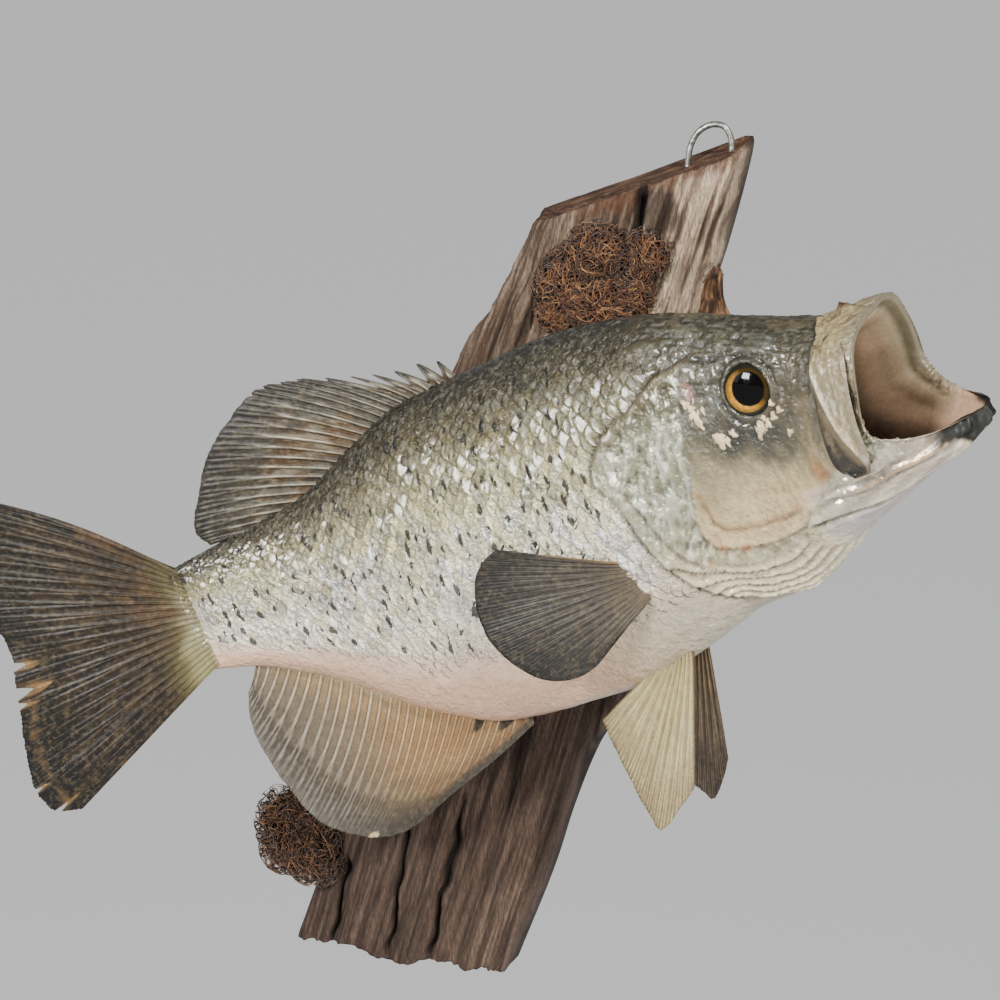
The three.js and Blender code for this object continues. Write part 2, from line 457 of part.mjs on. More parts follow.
// slanting saw cut across the top
const topTilt = Math.atan2(WOOD.cutHigh[1] - WOOD.cutLow[1], WOOD.cutHigh[0] - WOOD.cutLow[0]);
const saw = new THREE.BoxGeometry(260, 120, 80);
saw.translate(0, 0, 40);
saw.applyMatrix4(new THREE.Matrix4().makeRotationX(rad(WOOD.cutTilt)));
saw.applyMatrix4(new THREE.Matrix4().makeRotationY(-topTilt));
saw.translate((WOOD.cutLow[0] + WOOD.cutHigh[0]) / 2, 0, (WOOD.cutLow[1] + WOOD.cutHigh[1]) / 2);
const backSaw = new THREE.BoxGeometry(400, 60, 600);
backSaw.translate(0, 30, -40);
const topZ = (x, y) => WOOD.cutLow[1] + (x - WOOD.cutLow[0]) * Math.tan(topTilt) + y * Math.tan(rad(WOOD.cutTilt)) / Math.cos(topTilt);

// wire loop let into the sawn top
const loopX = 63, loopBase = topZ(loopX, LOOP.y);
const loopPath = new THREE.CatmullRomCurve3([
  [-0.5, -0.75], [-0.5, -0.35], [-0.49, 0.1], [-0.44, 0.5], [-0.28, 0.85], [0, 1], [0.28, 0.9], [0.43, 0.62], [0.49, 0.3], [0.5, -0.1], [0.5, -0.5],
].map(([w, h]) => new THREE.Vector3(loopX + w * LOOP.width, LOOP.y + 0.8 * w, loopBase + w * LOOP.width * Math.tan(topTilt) * 0.6 + h * LOOP.rise)));
const wireSection = new THREE.Shape();
for (let i = 0; i < 6; i++) {
  const a = i * Math.PI / 3;
  wireSection[i ? 'lineTo' : 'moveTo'](LOOP.wire * Math.cos(a), LOOP.wire * Math.sin(a));
}
const loopGeometry = facingOut(mergeVertices((() => {
  const g = new THREE.ExtrudeGeometry(wireSection, { steps: 18, extrudePath: loopPath, bevelEnabled: false });
  g.deleteAttribute('normal'); g.deleteAttribute('uv');
  return g;
})(), 1e-4));

let wood = woodRaw.subtract(solid(saw)).subtract(solid(backSaw));
wood = wood.subtract(bodyGrown).subtract(grownSolid(pectoralLeft)).subtract(grownSolid(loopGeometry));
wood = largest(wood);

// ---------- bark chip and moss ----------
function lump(at, size, seed, detail = 2) {
  const g = mergeVertices((() => { const q = new THREE.IcosahedronGeometry(1, detail); q.deleteAttribute('normal'); q.deleteAttribute('uv'); return q; })(), 1e-4);
  const p = g.attributes.position;
  for (let i = 0; i < p.count; i++) {
    const v = new THREE.Vector3().fromBufferAttribute(p, i);
    const n = 1 + 0.16 * Math.sin(5 * v.x + seed) * Math.cos(4.3 * v.z + seed) + 0.1 * Math.sin(9 * v.z + 7 * v.x + 2 * seed);
    p.setXYZ(i, at[0] + v.x * n * size[0], at[1] + v.y * n * size[1], at[2] + v.z * n * size[2]);
  }
  return facingOut(g);
}
const woodGrown = solid(grown(geometry(woodRaw), GAP)).subtract(solid((() => { const c = saw.clone(); c.translate(0, 0, GAP); return c; })()));
const mossUpper = largest(solid(lump([24, -26.5, 79], [24, 7.5, 21], 1.3)).add(solid(lump([43, -24.5, 88], [13, 6, 12], 4.1))).subtract(woodGrown).subtract(bodyGrown));
const mossLower = largest(solid(lump([-105, -22, -163], [21, 14, 23], 2.2)).subtract(woodGrown));
const chipGeometry = sheet(6, 3, (i, j, side) => {
  const t = i / 6, v = j / 3 - 0.5;
  const wide = mix(15, 3, Math.pow(t, 1.3)) * (1 + 0.12 * Math.sin(9 * t));
  const thick = mix(4.5, 1.4, t) * (1 - 1.4 * v * v);
  return new THREE.Vector3(mix(64, 69.5, t) + v * wide + 1.2 * Math.sin(6 * t), -17 + 2 * v + side * thick / 2 + 1.2 * Math.sin(5 * t), mix(60, 84, t) - 3 * Math.abs(v) + 1.2 * Math.sin(11 * v));
});
const chip = largest(solid(chipGeometry).subtract(woodGrown));

// ---------- materials and the model ----------
const look = (color, roughness, metalness = 0) => new THREE.MeshStandardMaterial({ color, roughness, metalness });
const flesh = look(0xa8a48e, 0.4), headLook = look(0x8d8a72, 0.42), jawLook = look(0xc9b48f, 0.5);
const plateLook = look(0xb9b8ac, 0.35), finLook = look(0x4a4038, 0.55), paleFin = look(0x9a8b66, 0.55);
const eyeLook = look(0x1a1208, 0.08), woodLook = look(0x5b4436, 0.85), mossLook = look(0x3b2412, 0.95), wireLook = look(0x8f9296, 0.35, 0.9);

const model = new THREE.Group();
const add = (name, g, material) => { const m = new THREE.Mesh(g, material); m.name = name; model.add(m); };

add('trunk', geometry(trunkSolid), flesh);
add('tail_stalk', geometry(tailSolid), flesh);
add('head', geometry(headSolid), headLook);
add('lower_jaw', geometry(jawSolid), jawLook);
add('gill_cover_right', geometry(gillRight), plateLook);
add('gill_cover_left', geometry(gillLeft), plateLook);
add('maxilla_right', maxillaRight, jawLook);
add('maxilla_left', maxillaLeft, jawLook);
add('eye_right', eyeRight, eyeLook);
add('eye_left', eyeLeft, eyeLook);
add('dorsal_fin', geometry(rooted(dorsalGeometry)), finLook);
add('anal_fin', geometry(rooted(analGeometry)), finLook);
add('caudal_fin', geometry(rooted(caudalGeometry)), finLook);
add('pectoral_fin_right', geometry(rooted(pectoralRight)), finLook);
add('pectoral_fin_left', geometry(rooted(pectoralLeft)), finLook);
add('pelvic_fin_right', geometry(rooted(pelvicRight)), paleFin);
add('pelvic_fin_left', geometry(rooted(pelvicLeft)), finLook);
add('driftwood', geometry(wood), woodLook);
add('bark_chip', geometry(chip), woodLook);
add('moss_upper', geometry(mossUpper), mossLook);
add('moss_lower', geometry(mossLower), mossLook);
add('hanger_loop', loopGeometry, wireLook);

export default model;
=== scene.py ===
"""The looks of the mounted crappie on its driftwood slab.
All shape functions work in millimetres in the part's frame and are turned into metres in build()."""
import bpy
import bmesh
import math
import numpy as np
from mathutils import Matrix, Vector
from mathutils.bvhtree import BVHTree


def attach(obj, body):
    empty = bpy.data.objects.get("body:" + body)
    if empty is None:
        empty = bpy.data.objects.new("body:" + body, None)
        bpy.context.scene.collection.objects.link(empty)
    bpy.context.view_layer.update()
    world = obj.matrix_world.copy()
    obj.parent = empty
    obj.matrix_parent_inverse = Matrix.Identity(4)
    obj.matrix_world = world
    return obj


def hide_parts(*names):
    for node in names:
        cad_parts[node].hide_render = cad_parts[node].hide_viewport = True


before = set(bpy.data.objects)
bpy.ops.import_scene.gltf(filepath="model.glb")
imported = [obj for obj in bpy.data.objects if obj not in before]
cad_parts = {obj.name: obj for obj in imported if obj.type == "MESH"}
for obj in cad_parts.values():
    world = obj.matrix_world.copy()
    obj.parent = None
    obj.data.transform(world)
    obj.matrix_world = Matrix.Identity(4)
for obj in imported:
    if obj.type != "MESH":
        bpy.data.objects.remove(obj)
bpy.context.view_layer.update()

# ============================================================ numbers
def rad(d):
    return d * math.pi / 180.0


def mix(a, b, t):
    return a + (b - a) * t


def sstep(a, b, x):
    t = np.clip((np.asarray(x, float) - a) / (b - a), 0.0, 1.0)
    return t * t * (3 - 2 * t)


def bell(x, w):
    return np.exp(-(np.asarray(x, float) / w) ** 2)


class Curve:
    """smooth curve through a small table, without overshoot"""
    def __init__(self, xs, ys):
        self.x, self.y = np.array(xs, float), np.array(ys, float)
        h = np.diff(self.x)
        d = np.diff(self.y) / h
        m = np.zeros(len(self.x))
        m[0], m[-1] = d[0], d[-1]
        for i in range(1, len(self.x) - 1):
            if d[i - 1] * d[i] > 0:
                w1, w2 = 2 * h[i] + h[i - 1], h[i] + 2 * h[i - 1]
                m[i] = (w1 + w2) / (w1 / d[i - 1] + w2 / d[i])
        self.m = m

    def __call__(self, x):
        x = np.asarray(x, float)
        i = np.clip(np.searchsorted(self.x, x) - 1, 0, len(self.x) - 2)
        h = self.x[i + 1] - self.x[i]
        t = (x - self.x[i]) / h
        t2, t3 = t * t, t * t * t
        y = ((2 * t3 - 3 * t2 + 1) * self.y[i] + (t3 - 2 * t2 + t) * h * self.m[i]
             + (-2 * t3 + 3 * t2) * self.y[i + 1] + (t3 - t2) * h * self.m[i + 1])
        lo = self.y[0] + self.m[0] * (x - self.x[0])
        hi = self.y[-1] + self.m[-1] * (x - self.x[-1])
        return np.where(x < self.x[0], lo, np.where(x > self.x[-1], hi, y))


def through(points, t):
    """Catmull-Rom through points, t an array of numbers from 0 to 1"""
    pts = np.array(points, float)
    n = len(pts) - 1
    t = np.clip(np.asarray(t, float), 0, 1) * n
    i = np.minimum(t.astype(int), n - 1)
    f = (t - i)[..., None]
    ext = np.vstack([2 * pts[0] - pts[1], pts, 2 * pts[-1] - pts[-2]])
    p0, p1, p2, p3 = ext[i], ext[i + 1], ext[i + 2], ext[i + 3]
    return 0.5 * (2 * p1 + (p2 - p0) * f + (2 * p0 - 5 * p1 + 4 * p2 - p3) * f * f
                  + (3 * p1 - p0 - 3 * p2 + p3) * f * f * f)


def hashed(ix, iy, iz, seed):
    n = (ix.astype(np.int64) * 374761393 + iy.astype(np.int64) * 668265263
         + iz.astype(np.int64) * 2147483647 + seed * 1274126177) & 0xFFFFFFFF
    n = ((n ^ (n >> 13)) * 1274126177) & 0xFFFFFFFF
    return ((n ^ (n >> 16)) & 0xFFFFFFFF) / 4294967295.0


def noise(x, y, z=0.0, seed=0):
    """smooth value noise from -1 to 1"""
    x, y, z = np.broadcast_arrays(np.asarray(x, float), np.asarray(y, float), np.asarray(z, float))
    ix, iy, iz = np.floor(x).astype(np.int64), np.floor(y).astype(np.int64), np.floor(z).astype(np.int64)
    fx, fy, fz = [f * f * f * (f * (f * 6 - 15) + 10) for f in (x - ix, y - iy, z - iz)]
    flat = not np.any(z)
    out = 0.0
    for dx in (0, 1):
        wx = fx if dx else 1 - fx
        for dy in (0, 1):
            wy = fy if dy else 1 - fy
            for dz in ((0,) if flat else (0, 1)):
                wz = 1.0 if flat else (fz if dz else 1 - fz)
                out = out + wx * wy * wz * hashed(ix + dx, iy + dy, iz + dz, seed)
    return out * 2 - 1


def fbm(x, y, z=0.0, octaves=4, seed=0, gain=0.5):
    out, amp, f = 0.0, 1.0, 1.0
    for o in range(octaves):
        out = out + amp * noise(np.asarray(x) * f, np.asarray(y) * f, np.asarray(z) * f, seed + 17 * o)
        amp, f = amp * gain, f * 2.03
    return out


def ridged(x, y, z=0.0, octaves=3, seed=0):
    out, amp, f = 0.0, 1.0, 1.0
    for o in range(octaves):
        out = out + amp * (1 - 2 * np.abs(noise(np.asarray(x) * f, np.asarray(y) * f, np.asarray(z) * f, seed + 31 * o)))
        amp, f = amp * 0.5, f * 2.1
    return out


def lin(h):
    """#rrggbb as linear light"""
    c = np.array([int(h[i:i + 2], 16) / 255.0 for i in (1, 3, 5)])
    return np.where(c <= 0.04045, c / 12.92, ((c + 0.055) / 1.055) ** 2.4)


def ramp(x, stops):
    """colours between stops [(position, '#hex'), ...]"""
    xs = [p for p, _ in stops]
    cs = np.array([lin(c) for _, c in stops])
    return np.stack([np.interp(x, xs, cs[:, k]) for k in range(3)], -1)


def tint(col, hexa, m):
    m = np.clip(np.asarray(m, float), 0, 1)[..., None]
    return col * (1 - m) + lin(hexa) * m


# ============================================================ the fish's own coordinates
SPINE_S, SPINE_AT, SPINE_PITCH = 160.0, np.array([2.0, -62.0, -10.0]), 22.0
SPINE_KNOTS = [-60, 0, 60, 110, 160, 210, 260, 300, 400]
SPINE_YAW = [22, 20, 12, 10, 6, -1, -9, -15, -18]
SPINE_ROLL = [21, 20, 11, 5, 0, 0, 0, 0, 0]


def frame_at(s):
    s = np.asarray(s, float)
    y, r, p = rad(np.interp(s, SPINE_KNOTS, SPINE_YAW)), rad(np.interp(s, SPINE_KNOTS, SPINE_ROLL)), rad(SPINE_PITCH)
    fwd = np.stack([math.cos(p) * np.cos(y), -math.cos(p) * np.sin(y), np.full_like(y, math.sin(p))], -1)
    lat = np.stack([np.sin(y), np.cos(y), np.zeros_like(y)], -1)
    dor = np.cross(fwd, lat)
    c, sn = np.cos(r)[..., None], np.sin(r)[..., None]
    return fwd, lat * c + dor * sn, dor * c - lat * sn


SS = np.arange(-60, 421, 1.0)
CENTRES = np.vstack([[0, 0, 0], np.cumsum(-frame_at(SS[1:] - 0.5)[0], axis=0)])
CENTRES += SPINE_AT - CENTRES[int(SPINE_S + 60)]


def P(s, y, z):
    s, y, z = np.broadcast_arrays(np.asarray(s, float), np.asarray(y, float), np.asarray(z, float))
    c = np.stack([np.interp(s, SS, CENTRES[:, k]) for k in range(3)], -1)
    _, left, up = frame_at(s)
    return c + left * y[..., None] + up * z[..., None]


back_line = Curve([50, 75, 92, 110, 129, 148, 160, 173, 187, 201, 218, 240, 266, 282, 300],
                  [51.3, 58.2, 60.7, 62, 61.6, 60, 59.2, 58, 56.2, 51.6, 44, 35, 31, 28.6, 26])
belly_line = Curve([50, 60, 72, 86, 105, 132, 149, 167, 181, 194, 209, 224, 238, 252, 266, 281, 300],
                   [-54, -55, -56, -60.6, -67.2, -73.1, -73.4, -73.8, -73.4, -71.5, -65.6, -57.9, -48, -38.2, -30.2, -23, -18])
half_width = Curve([50, 60, 80, 100, 125, 150, 170, 190, 210, 230, 250, 270, 285, 300],
                   [22.3, 23.3, 25.2, 26.6, 27.2, 27.2, 26.4, 24.6, 21.6, 17.8, 13.6, 9.8, 7.4, 5])
widest_at = Curve([50, 110, 180, 240, 300], [0, -3, -4, -4, 3])


def section(s, u):
    """flat section at s; u 0 (back) - 1 (belly) on the right side, 1 - 2 on the left"""
    s, u = np.broadcast_arrays(np.asarray(s, float), np.asarray(u, float))
    a = math.pi * np.where(u <= 1, u, 2 - u)
    c, sn = np.cos(a), np.maximum(0, np.sin(a))
    power = mix(1.16, 0.98, (1 - c) / 2)
    zc = widest_at(s)
    z = zc + np.where(c > 0, back_line(s) - zc, zc - belly_line(s)) * c
    return np.stack([s, np.where(u <= 1, -1, 1) * half_width(s) * np.power(sn, power), z], -1)


LOOPS = {
    "brow": [[27.5, 0, 43.4], [27.5, 8.5, 40.8], [28, 15.2, 33.2], [29.5, 19.4, 18], [31, 21.8, 0], [29.5, 22.2, -17], [23, 19.6, -30], [16, 11, -35.6], [12, 0, -32.8]],
    "snout": [[8, 0, 37.7], [8.6, 8.6, 35.6], [10.5, 16.2, 29.2], [14, 20.6, 16], [16.5, 22.8, 0], [11.5, 23, -13.6], [-1, 18.8, -20.6], [-11, 10, -24.2], [-17, 0, -22]],
    "cheek": [[-6, 0, 37], [-4.8, 10, 35.8], [-2.8, 18.6, 31], [0.3, 23.2, 17.5], [2.4, 25.2, 2], [-4.5, 23.4, -8.6], [-17, 17, -14], [-28.5, 9, -15.9], [-35.6, 0, -15]],
    "rim": [[-15.4, 0, 36.8], [-14.8, 10.5, 35.8], [-13.2, 19.2, 30.6], [-10.4, 24.4, 17.5], [-7.6, 26.4, 3.4], [-13, 21.8, -2.8], [-22, 15.4, -6.4], [-31.5, 8.2, -6.9], [-37.4, 0, -7.2]],
    "lip": [[-14.2, 0, 33.6], [-13.4, 9.2, 32.8], [-11.4, 16.8, 28.2], [-8.4, 21.6, 16.6], [-5.4, 23, 3], [-11.4, 19, -4.2], [-20.2, 13, -8.2], [-28.6, 6.8, -8.9], [-33.4, 0, -9]],
    "palate": [[0, 0, 29], [1, 8, 28], [3, 14.5, 24], [6, 18, 13.5], [8.5, 19.2, 1.5], [1, 18.2, -7.6], [-10, 13, -13], [-19.5, 7, -14.8], [-26, 0, -13.2]],
    "gullet": [[21, 0, 25], [21, 6.5, 24], [22, 11.5, 20], [24, 14.5, 11], [26, 15.5, 0], [21, 15, -9], [12, 12, -16.6], [3, 7, -20], [-3, 0, -18.6]],
    "throat": [[44, 0, 13], [44, 4.5, 12], [44, 8, 9], [45, 10, 3], [46, 10, -4], [45, 9, -10], [43, 7, -14], [41, 4, -16], [40, 0, -16.5]],
}
HEAD_T = np.array([-10, 0, 20, 36, 51, 60.0])
IN_T = np.array([0, 3.5, 16, 36, 58.0])
W_PLANE, W_RIM, W_END = 250.0, 310.0, 368.0     # w runs from the tail to the rim of the mouth and in to the throat


def loop(name, u):
    u = np.asarray(u, float)
    half = np.array(LOOPS[name], float)
    m = np.array([1, -1, 1.0])
    pts = np.vstack([half[1] * m, half, half[7] * m])
    x = np.where(u <= 1, u, 2 - u) * 8 + 1
    i = np.minimum(x.astype(int), 8)
    f = (x - i)[..., None]
    p0, p1, p2, p3 = pts[i - 1], pts[i], pts[i + 1], pts[i + 2]
    q = 0.5 * (2 * p1 + (p2 - p0) * f + (2 * p0 - 5 * p1 + 4 * p2 - p3) * f * f + (3 * p1 - p0 - 3 * p2 + p3) * f * f * f)
    q[..., 1] = np.where(u <= 1, -1, 1) * np.maximum(0, q[..., 1])
    return q


def hermite(keys, xs, t):
    i = np.clip(np.searchsorted(xs, t, side="left"), 1, len(xs) - 1)
    x0, x1 = xs[i - 1], xs[i]
    h = (x1 - x0)[..., None]
    f = ((t - x0) / (x1 - x0))[..., None]
    n = len(xs)
    slopes = np.stack([(keys[min(j + 1, n - 1)] - keys[max(j - 1, 0)]) / (xs[min(j + 1, n - 1)] - xs[max(j - 1, 0)]) for j in range(n)])
    idx = tuple(np.indices(t.shape))
    f2, f3 = f * f, f * f * f
    return ((2 * f3 - 3 * f2 + 1) * keys[(i - 1,) + idx] + (f3 - 2 * f2 + f) * h * slopes[(i - 1,) + idx]
            + (-2 * f3 + 3 * f2) * keys[(i,) + idx] + (f3 - f2) * h * slopes[(i,) + idx])


def surface(w, u):
    """the bare outline at (w, u), in fish coordinates"""
    w, u = np.broadcast_arrays(np.asarray(w, float), np.mod(np.asarray(u, float), 2))
    body = section(np.maximum(300 - w, 50), u)
    t = w - W_PLANE
    keys = np.stack([section(np.full(u.shape, 60.0), u), section(np.full(u.shape, 50.0), u)]
                    + [loop(n, u) for n in ("brow", "snout", "cheek", "rim")])
    head = hermite(keys, HEAD_T, np.clip(t, 0, 60))
    inner = hermite(np.stack([loop(n, u) for n in ("rim", "lip", "palate", "gullet", "throat")]), IN_T, np.clip(t - 60, 0, 58))
    return np.where((w < W_PLANE)[..., None], body, np.where((w <= W_RIM)[..., None], head, inner))


def place(sp):
    return P(sp[..., 0], sp[..., 1], sp[..., 2])


def unit(v):
    return v / (np.linalg.norm(v, axis=-1, keepdims=True) + 1e-12)


def surface_frame(w, u):
    """point, outward normal, headward direction and downward direction, in the part's frame"""
    p = place(surface(w, u))
    a = place(surface(w + 0.4, u)) - place(surface(w - 0.4, u))
    b = place(surface(w, u + 0.003)) - place(surface(w, u - 0.003))
    n = unit(np.cross(b, a))
    return p, n, unit(a), b / 0.006


GIRTH = 135.0        # millimetres of half girth that u = 0..1 stands for, for features drawn on the surface


def to_line(line, w, u, mirrored=True):
    """signed distance in mm from points to a polyline of (w, u), and how far along the line; both flanks"""
    uu = np.where(u <= 1, u, 2 - u) if mirrored else u
    x, y = w, uu * GIRTH
    pts = np.array(line, float) * [1, GIRTH]
    best = np.full(x.shape, 1e9)
    sign = np.ones(x.shape)
    along = np.zeros(x.shape)
    total = np.concatenate([[0], np.cumsum(np.hypot(*np.diff(pts, axis=0).T))])
    for i in range(len(pts) - 1):
        a, b = pts[i], pts[i + 1]
        d = b - a
        l2 = d @ d
        t = np.clip(((x - a[0]) * d[0] + (y - a[1]) * d[1]) / l2, 0, 1)
        dx, dy = x - a[0] - t * d[0], y - a[1] - t * d[1]
        r = np.hypot(dx, dy)
        near = r < best
        best = np.where(near, r, best)
        sign = np.where(near, np.sign(d[0] * dy - d[1] * dx), sign)
        along = np.where(near, (total[i] + t * math.sqrt(l2)) / total[-1], along)
    return best * np.where(sign == 0, 1, sign), along


def smooth_line(line, n=40):
    return through(line, np.linspace(0, 1, n))


# ============================================================ meshes
def build(name, co, quads, tris=None, colour=None, surf=None, smooth=True, uv=None, extra=None):
    """a mesh object from arrays in millimetres"""
    me = bpy.data.meshes.new(name)
    co = np.asarray(co, float).reshape(-1, 3)
    quads = np.zeros((0, 4), int) if quads is None else np.asarray(quads).reshape(-1, 4)
    tris = np.zeros((0, 3), int) if tris is None else np.asarray(tris).reshape(-1, 3)
    me.vertices.add(len(co))
    me.vertices.foreach_set("co", (co * 0.001).astype(np.float32).ravel())
    loops = np.concatenate([quads.ravel(), tris.ravel()]).astype(np.int32)
    me.loops.add(len(loops))
    me.loops.foreach_set("vertex_index", loops)
    me.polygons.add(len(quads) + len(tris))
    starts = np.concatenate([np.arange(len(quads)) * 4, len(quads) * 4 + np.arange(len(tris)) * 3]).astype(np.int32)
    me.polygons.foreach_set("loop_start", starts)
    me.update(calc_edges=True)
    me.polygons.foreach_set("use_smooth", np.full(len(me.polygons), smooth))
    for title, values in (("Col", colour), ("Surf", surf)):
        if values is not None:
            at = me.color_attributes.new(title, "FLOAT_COLOR", "POINT")
            rgba = np.ones((len(co), 4), np.float32)
            rgba[:, :3] = np.clip(np.asarray(values).reshape(-1, 3), 0, 1)
            at.data.foreach_set("color", rgba.ravel())
    for title, values in (extra or {}).items():
        at = me.attributes.new(title, "FLOAT_VECTOR", "POINT")
        at.data.foreach_set("vector", np.asarray(values, np.float32).ravel())
    if uv is not None:
        layer = me.uv_layers.new(name="OFBake")
        layer.data.foreach_set("uv", np.asarray(uv)[loops].astype(np.float32).ravel())
    me.validate(clean_customdata=False)
    if name.startswith(("paint", "moss")):       # points that lie on one another become one, so no face has zero area
        bm = bmesh.new()
        bm.from_mesh(me)
        bmesh.ops.remove_doubles(bm, verts=bm.verts, dist=1e-6)
        bmesh.ops.dissolve_degenerate(bm, edges=bm.edges, dist=1e-6)
        bm.to_mesh(me)
        bm.free()
    ob = bpy.data.objects.new(name, me)
    bpy.context.scene.collection.objects.link(ob)
    return ob


def grid_quads(ni, nj, closed_j=False, offset=0, flip=False):
    i = np.arange(ni - 1)[:, None]
    j = np.arange(nj if closed_j else nj - 1)[None, :]
    k = (j + 1) % nj
    q = np.stack([i * nj + j, (i + 1) * nj + j, (i + 1) * nj + k, i * nj + k], -1).reshape(-1, 4)
    if flip:
        q = q[:, ::-1]
    return q + offset


def sheet_mesh(front, back):
    """closed thin sheet from two grids of points of the same shape"""
    ni, nj = front.shape[:2]
    co = np.concatenate([front.reshape(-1, 3), back.reshape(-1, 3)])
    n = ni * nj
    quads = [grid_quads(ni, nj), grid_quads(ni, nj, offset=n, flip=True)]
    edge = np.concatenate([np.arange(nj), np.arange(1, ni) * nj + nj - 1, (ni - 1) * nj + np.arange(nj - 2, -1, -1), np.arange(ni - 2, 0, -1) * nj])
    nxt = np.roll(edge, -1)
    quads.append(np.stack([edge, nxt, nxt + n, edge + n], -1))
    return co, np.concatenate(quads)


def face_out(co, quads, tris=None):
    """turn all faces over if the closed mesh encloses a negative volume"""
    p = co[quads]
    v = np.einsum("ij,ij->i", p[:, 0], np.cross(p[:, 1], p[:, 2])).sum() + np.einsum("ij,ij->i", p[:, 0], np.cross(p[:, 2], p[:, 3])).sum()
    return quads if v > 0 else quads[:, ::-1]


def wear(ob, *nodes, slot, mat):
    ob.data.materials.append(mat)
    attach(ob, "root")
    if nodes:
        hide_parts(*nodes)
    return ob


# ============================================================ materials
def material(name, mottle=(), hue=None, bumps=(), rough=0.0, coat=0.0, coat_rough=0.15, spec=0.5, metal=False, subsurface=0.0,
             stretch=None, cells=None, sheen=0.0, calm=False, dashes=False):
    """colour, roughness and metallic from the mesh's own attributes, broken up by noise in object space.
    mottle: (size mm, amount) pairs; bumps: (size mm, depth mm) pairs; stretch: scaling of the noise space"""
    m = bpy.data.materials.new(name)
    m.use_nodes = True
    nt = m.node_tree
    nodes, links = nt.nodes, nt.links
    nodes.clear()
    out = nodes.new("ShaderNodeOutputMaterial")
    p = nodes.new("ShaderNodeBsdfPrincipled")
    links.new(p.outputs["BSDF"], out.inputs["Surface"])
    p.inputs["Coat Weight"].default_value = coat
    p.inputs["Coat Roughness"].default_value = coat_rough
    p.inputs["Specular IOR Level"].default_value = spec
    p.inputs["Subsurface Weight"].default_value = subsurface
    p.inputs["Subsurface Radius"].default_value = (0.004, 0.002, 0.0012)
    p.inputs["Subsurface Scale"].default_value = 1.0
    p.inputs["Sheen Weight"].default_value = sheen
    texco = nodes.new("ShaderNodeTexCoord")
    space = texco.outputs["Object"]
    if stretch is not None:
        mp = nodes.new("ShaderNodeMapping")
        mp.inputs["Rotation"].default_value = stretch[1]
        mp.inputs["Scale"].default_value = stretch[0]
        links.new(space, mp.inputs["Vector"])
        space = mp.outputs["Vector"]

    def noise_node(size, detail=3.0, rough_=0.55):
        n = nodes.new("ShaderNodeTexNoise")
        n.inputs["Scale"].default_value = 1000.0 / size
        n.inputs["Detail"].default_value = detail
        n.inputs["Roughness"].default_value = rough_
        links.new(space, n.inputs["Vector"])
        return n.outputs["Fac"]

    def span(socket, lo, hi, frm=0.25, to=0.75):
        r = nodes.new("ShaderNodeMapRange")
        r.inputs["From Min"].default_value, r.inputs["From Max"].default_value = frm, to
        r.inputs["To Min"].default_value, r.inputs["To Max"].default_value = lo, hi
        links.new(socket, r.inputs["Value"])
        return r.outputs["Result"]

    at = nodes.new("ShaderNodeAttribute")
    at.attribute_name = "Col"
    col = at.outputs["Color"]
    for size, amount in mottle:
        k = span(noise_node(size), 1 - amount, 1 + amount)
        mul = nodes.new("ShaderNodeVectorMath")
        mul.operation = "SCALE"
        links.new(col, mul.inputs[0])
        links.new(k, mul.inputs["Scale"])
        col = mul.outputs["Vector"]
    if hue is not None:
        size, hexa, amount = hue
        mx = nodes.new("ShaderNodeMix")
        mx.data_type = "RGBA"
        mx.inputs["B"].default_value = (*lin(hexa), 1)
        links.new(span(noise_node(size, 4.0), 0, amount, 0.48, 0.72), mx.inputs["Factor"])
        links.new(col, mx.inputs["A"])
        col = mx.outputs["Result"]
    if dashes:                                   # the dark dashes, cut sharp out of a smooth field on the mesh
        da = nodes.new("ShaderNodeAttribute")
        da.attribute_name = "Dash"
        mx = nodes.new("ShaderNodeMix")
        mx.data_type = "RGBA"
        mx.inputs["B"].default_value = (*lin("#0e0c09"), 1)
        links.new(span(da.outputs["Fac"], 0.0, 0.92, 0.38, 0.56), mx.inputs["Factor"])
        links.new(col, mx.inputs["A"])
        col = mx.outputs["Result"]
    links.new(col, p.inputs["Base Color"])
    sf = nodes.new("ShaderNodeAttribute")
    sf.attribute_name = "Surf"
    sep = nodes.new("ShaderNodeSeparateColor")
    links.new(sf.outputs["Color"], sep.inputs["Color"])
    add = nodes.new("ShaderNodeMath")
    add.operation = "ADD"
    add.use_clamp = True
    links.new(sep.outputs["Red"], add.inputs[0])
    links.new(span(noise_node(1.7, 4.0), -0.09 - rough, 0.09 + rough), add.inputs[1])
    links.new(add.outputs["Value"], p.inputs["Roughness"])
    if metal:
        links.new(sep.outputs["Green"], p.inputs["Metallic"])
    strength_of = None
    if calm:                                     # the third channel of Surf smooths the bumps away
        sm = nodes.new("ShaderNodeMath")
        sm.operation = "SUBTRACT"
        sm.inputs[0].default_value = 1.0
        links.new(sep.outputs["Blue"], sm.inputs[1])
        strength_of = sm.outputs["Value"]
        cw = nodes.new("ShaderNodeMath")
        cw.operation = "MULTIPLY"
        links.new(sm.outputs["Value"], cw.inputs[0])
        cw.inputs[1].default_value = coat
        links.new(cw.outputs["Value"], p.inputs["Coat Weight"])
    normal = None

    def bump(height, depth, strength=1.0):
        nonlocal normal
        b = nodes.new("ShaderNodeBump")
        b.inputs["Strength"].default_value = strength
        b.inputs["Distance"].default_value = depth * 0.001
        if strength_of is not None:
            links.new(strength_of, b.inputs["Strength"])
        links.new(height, b.inputs["Height"])
        if normal is not None:
            links.new(normal, b.inputs["Normal"])
        normal = b.outputs["Normal"]

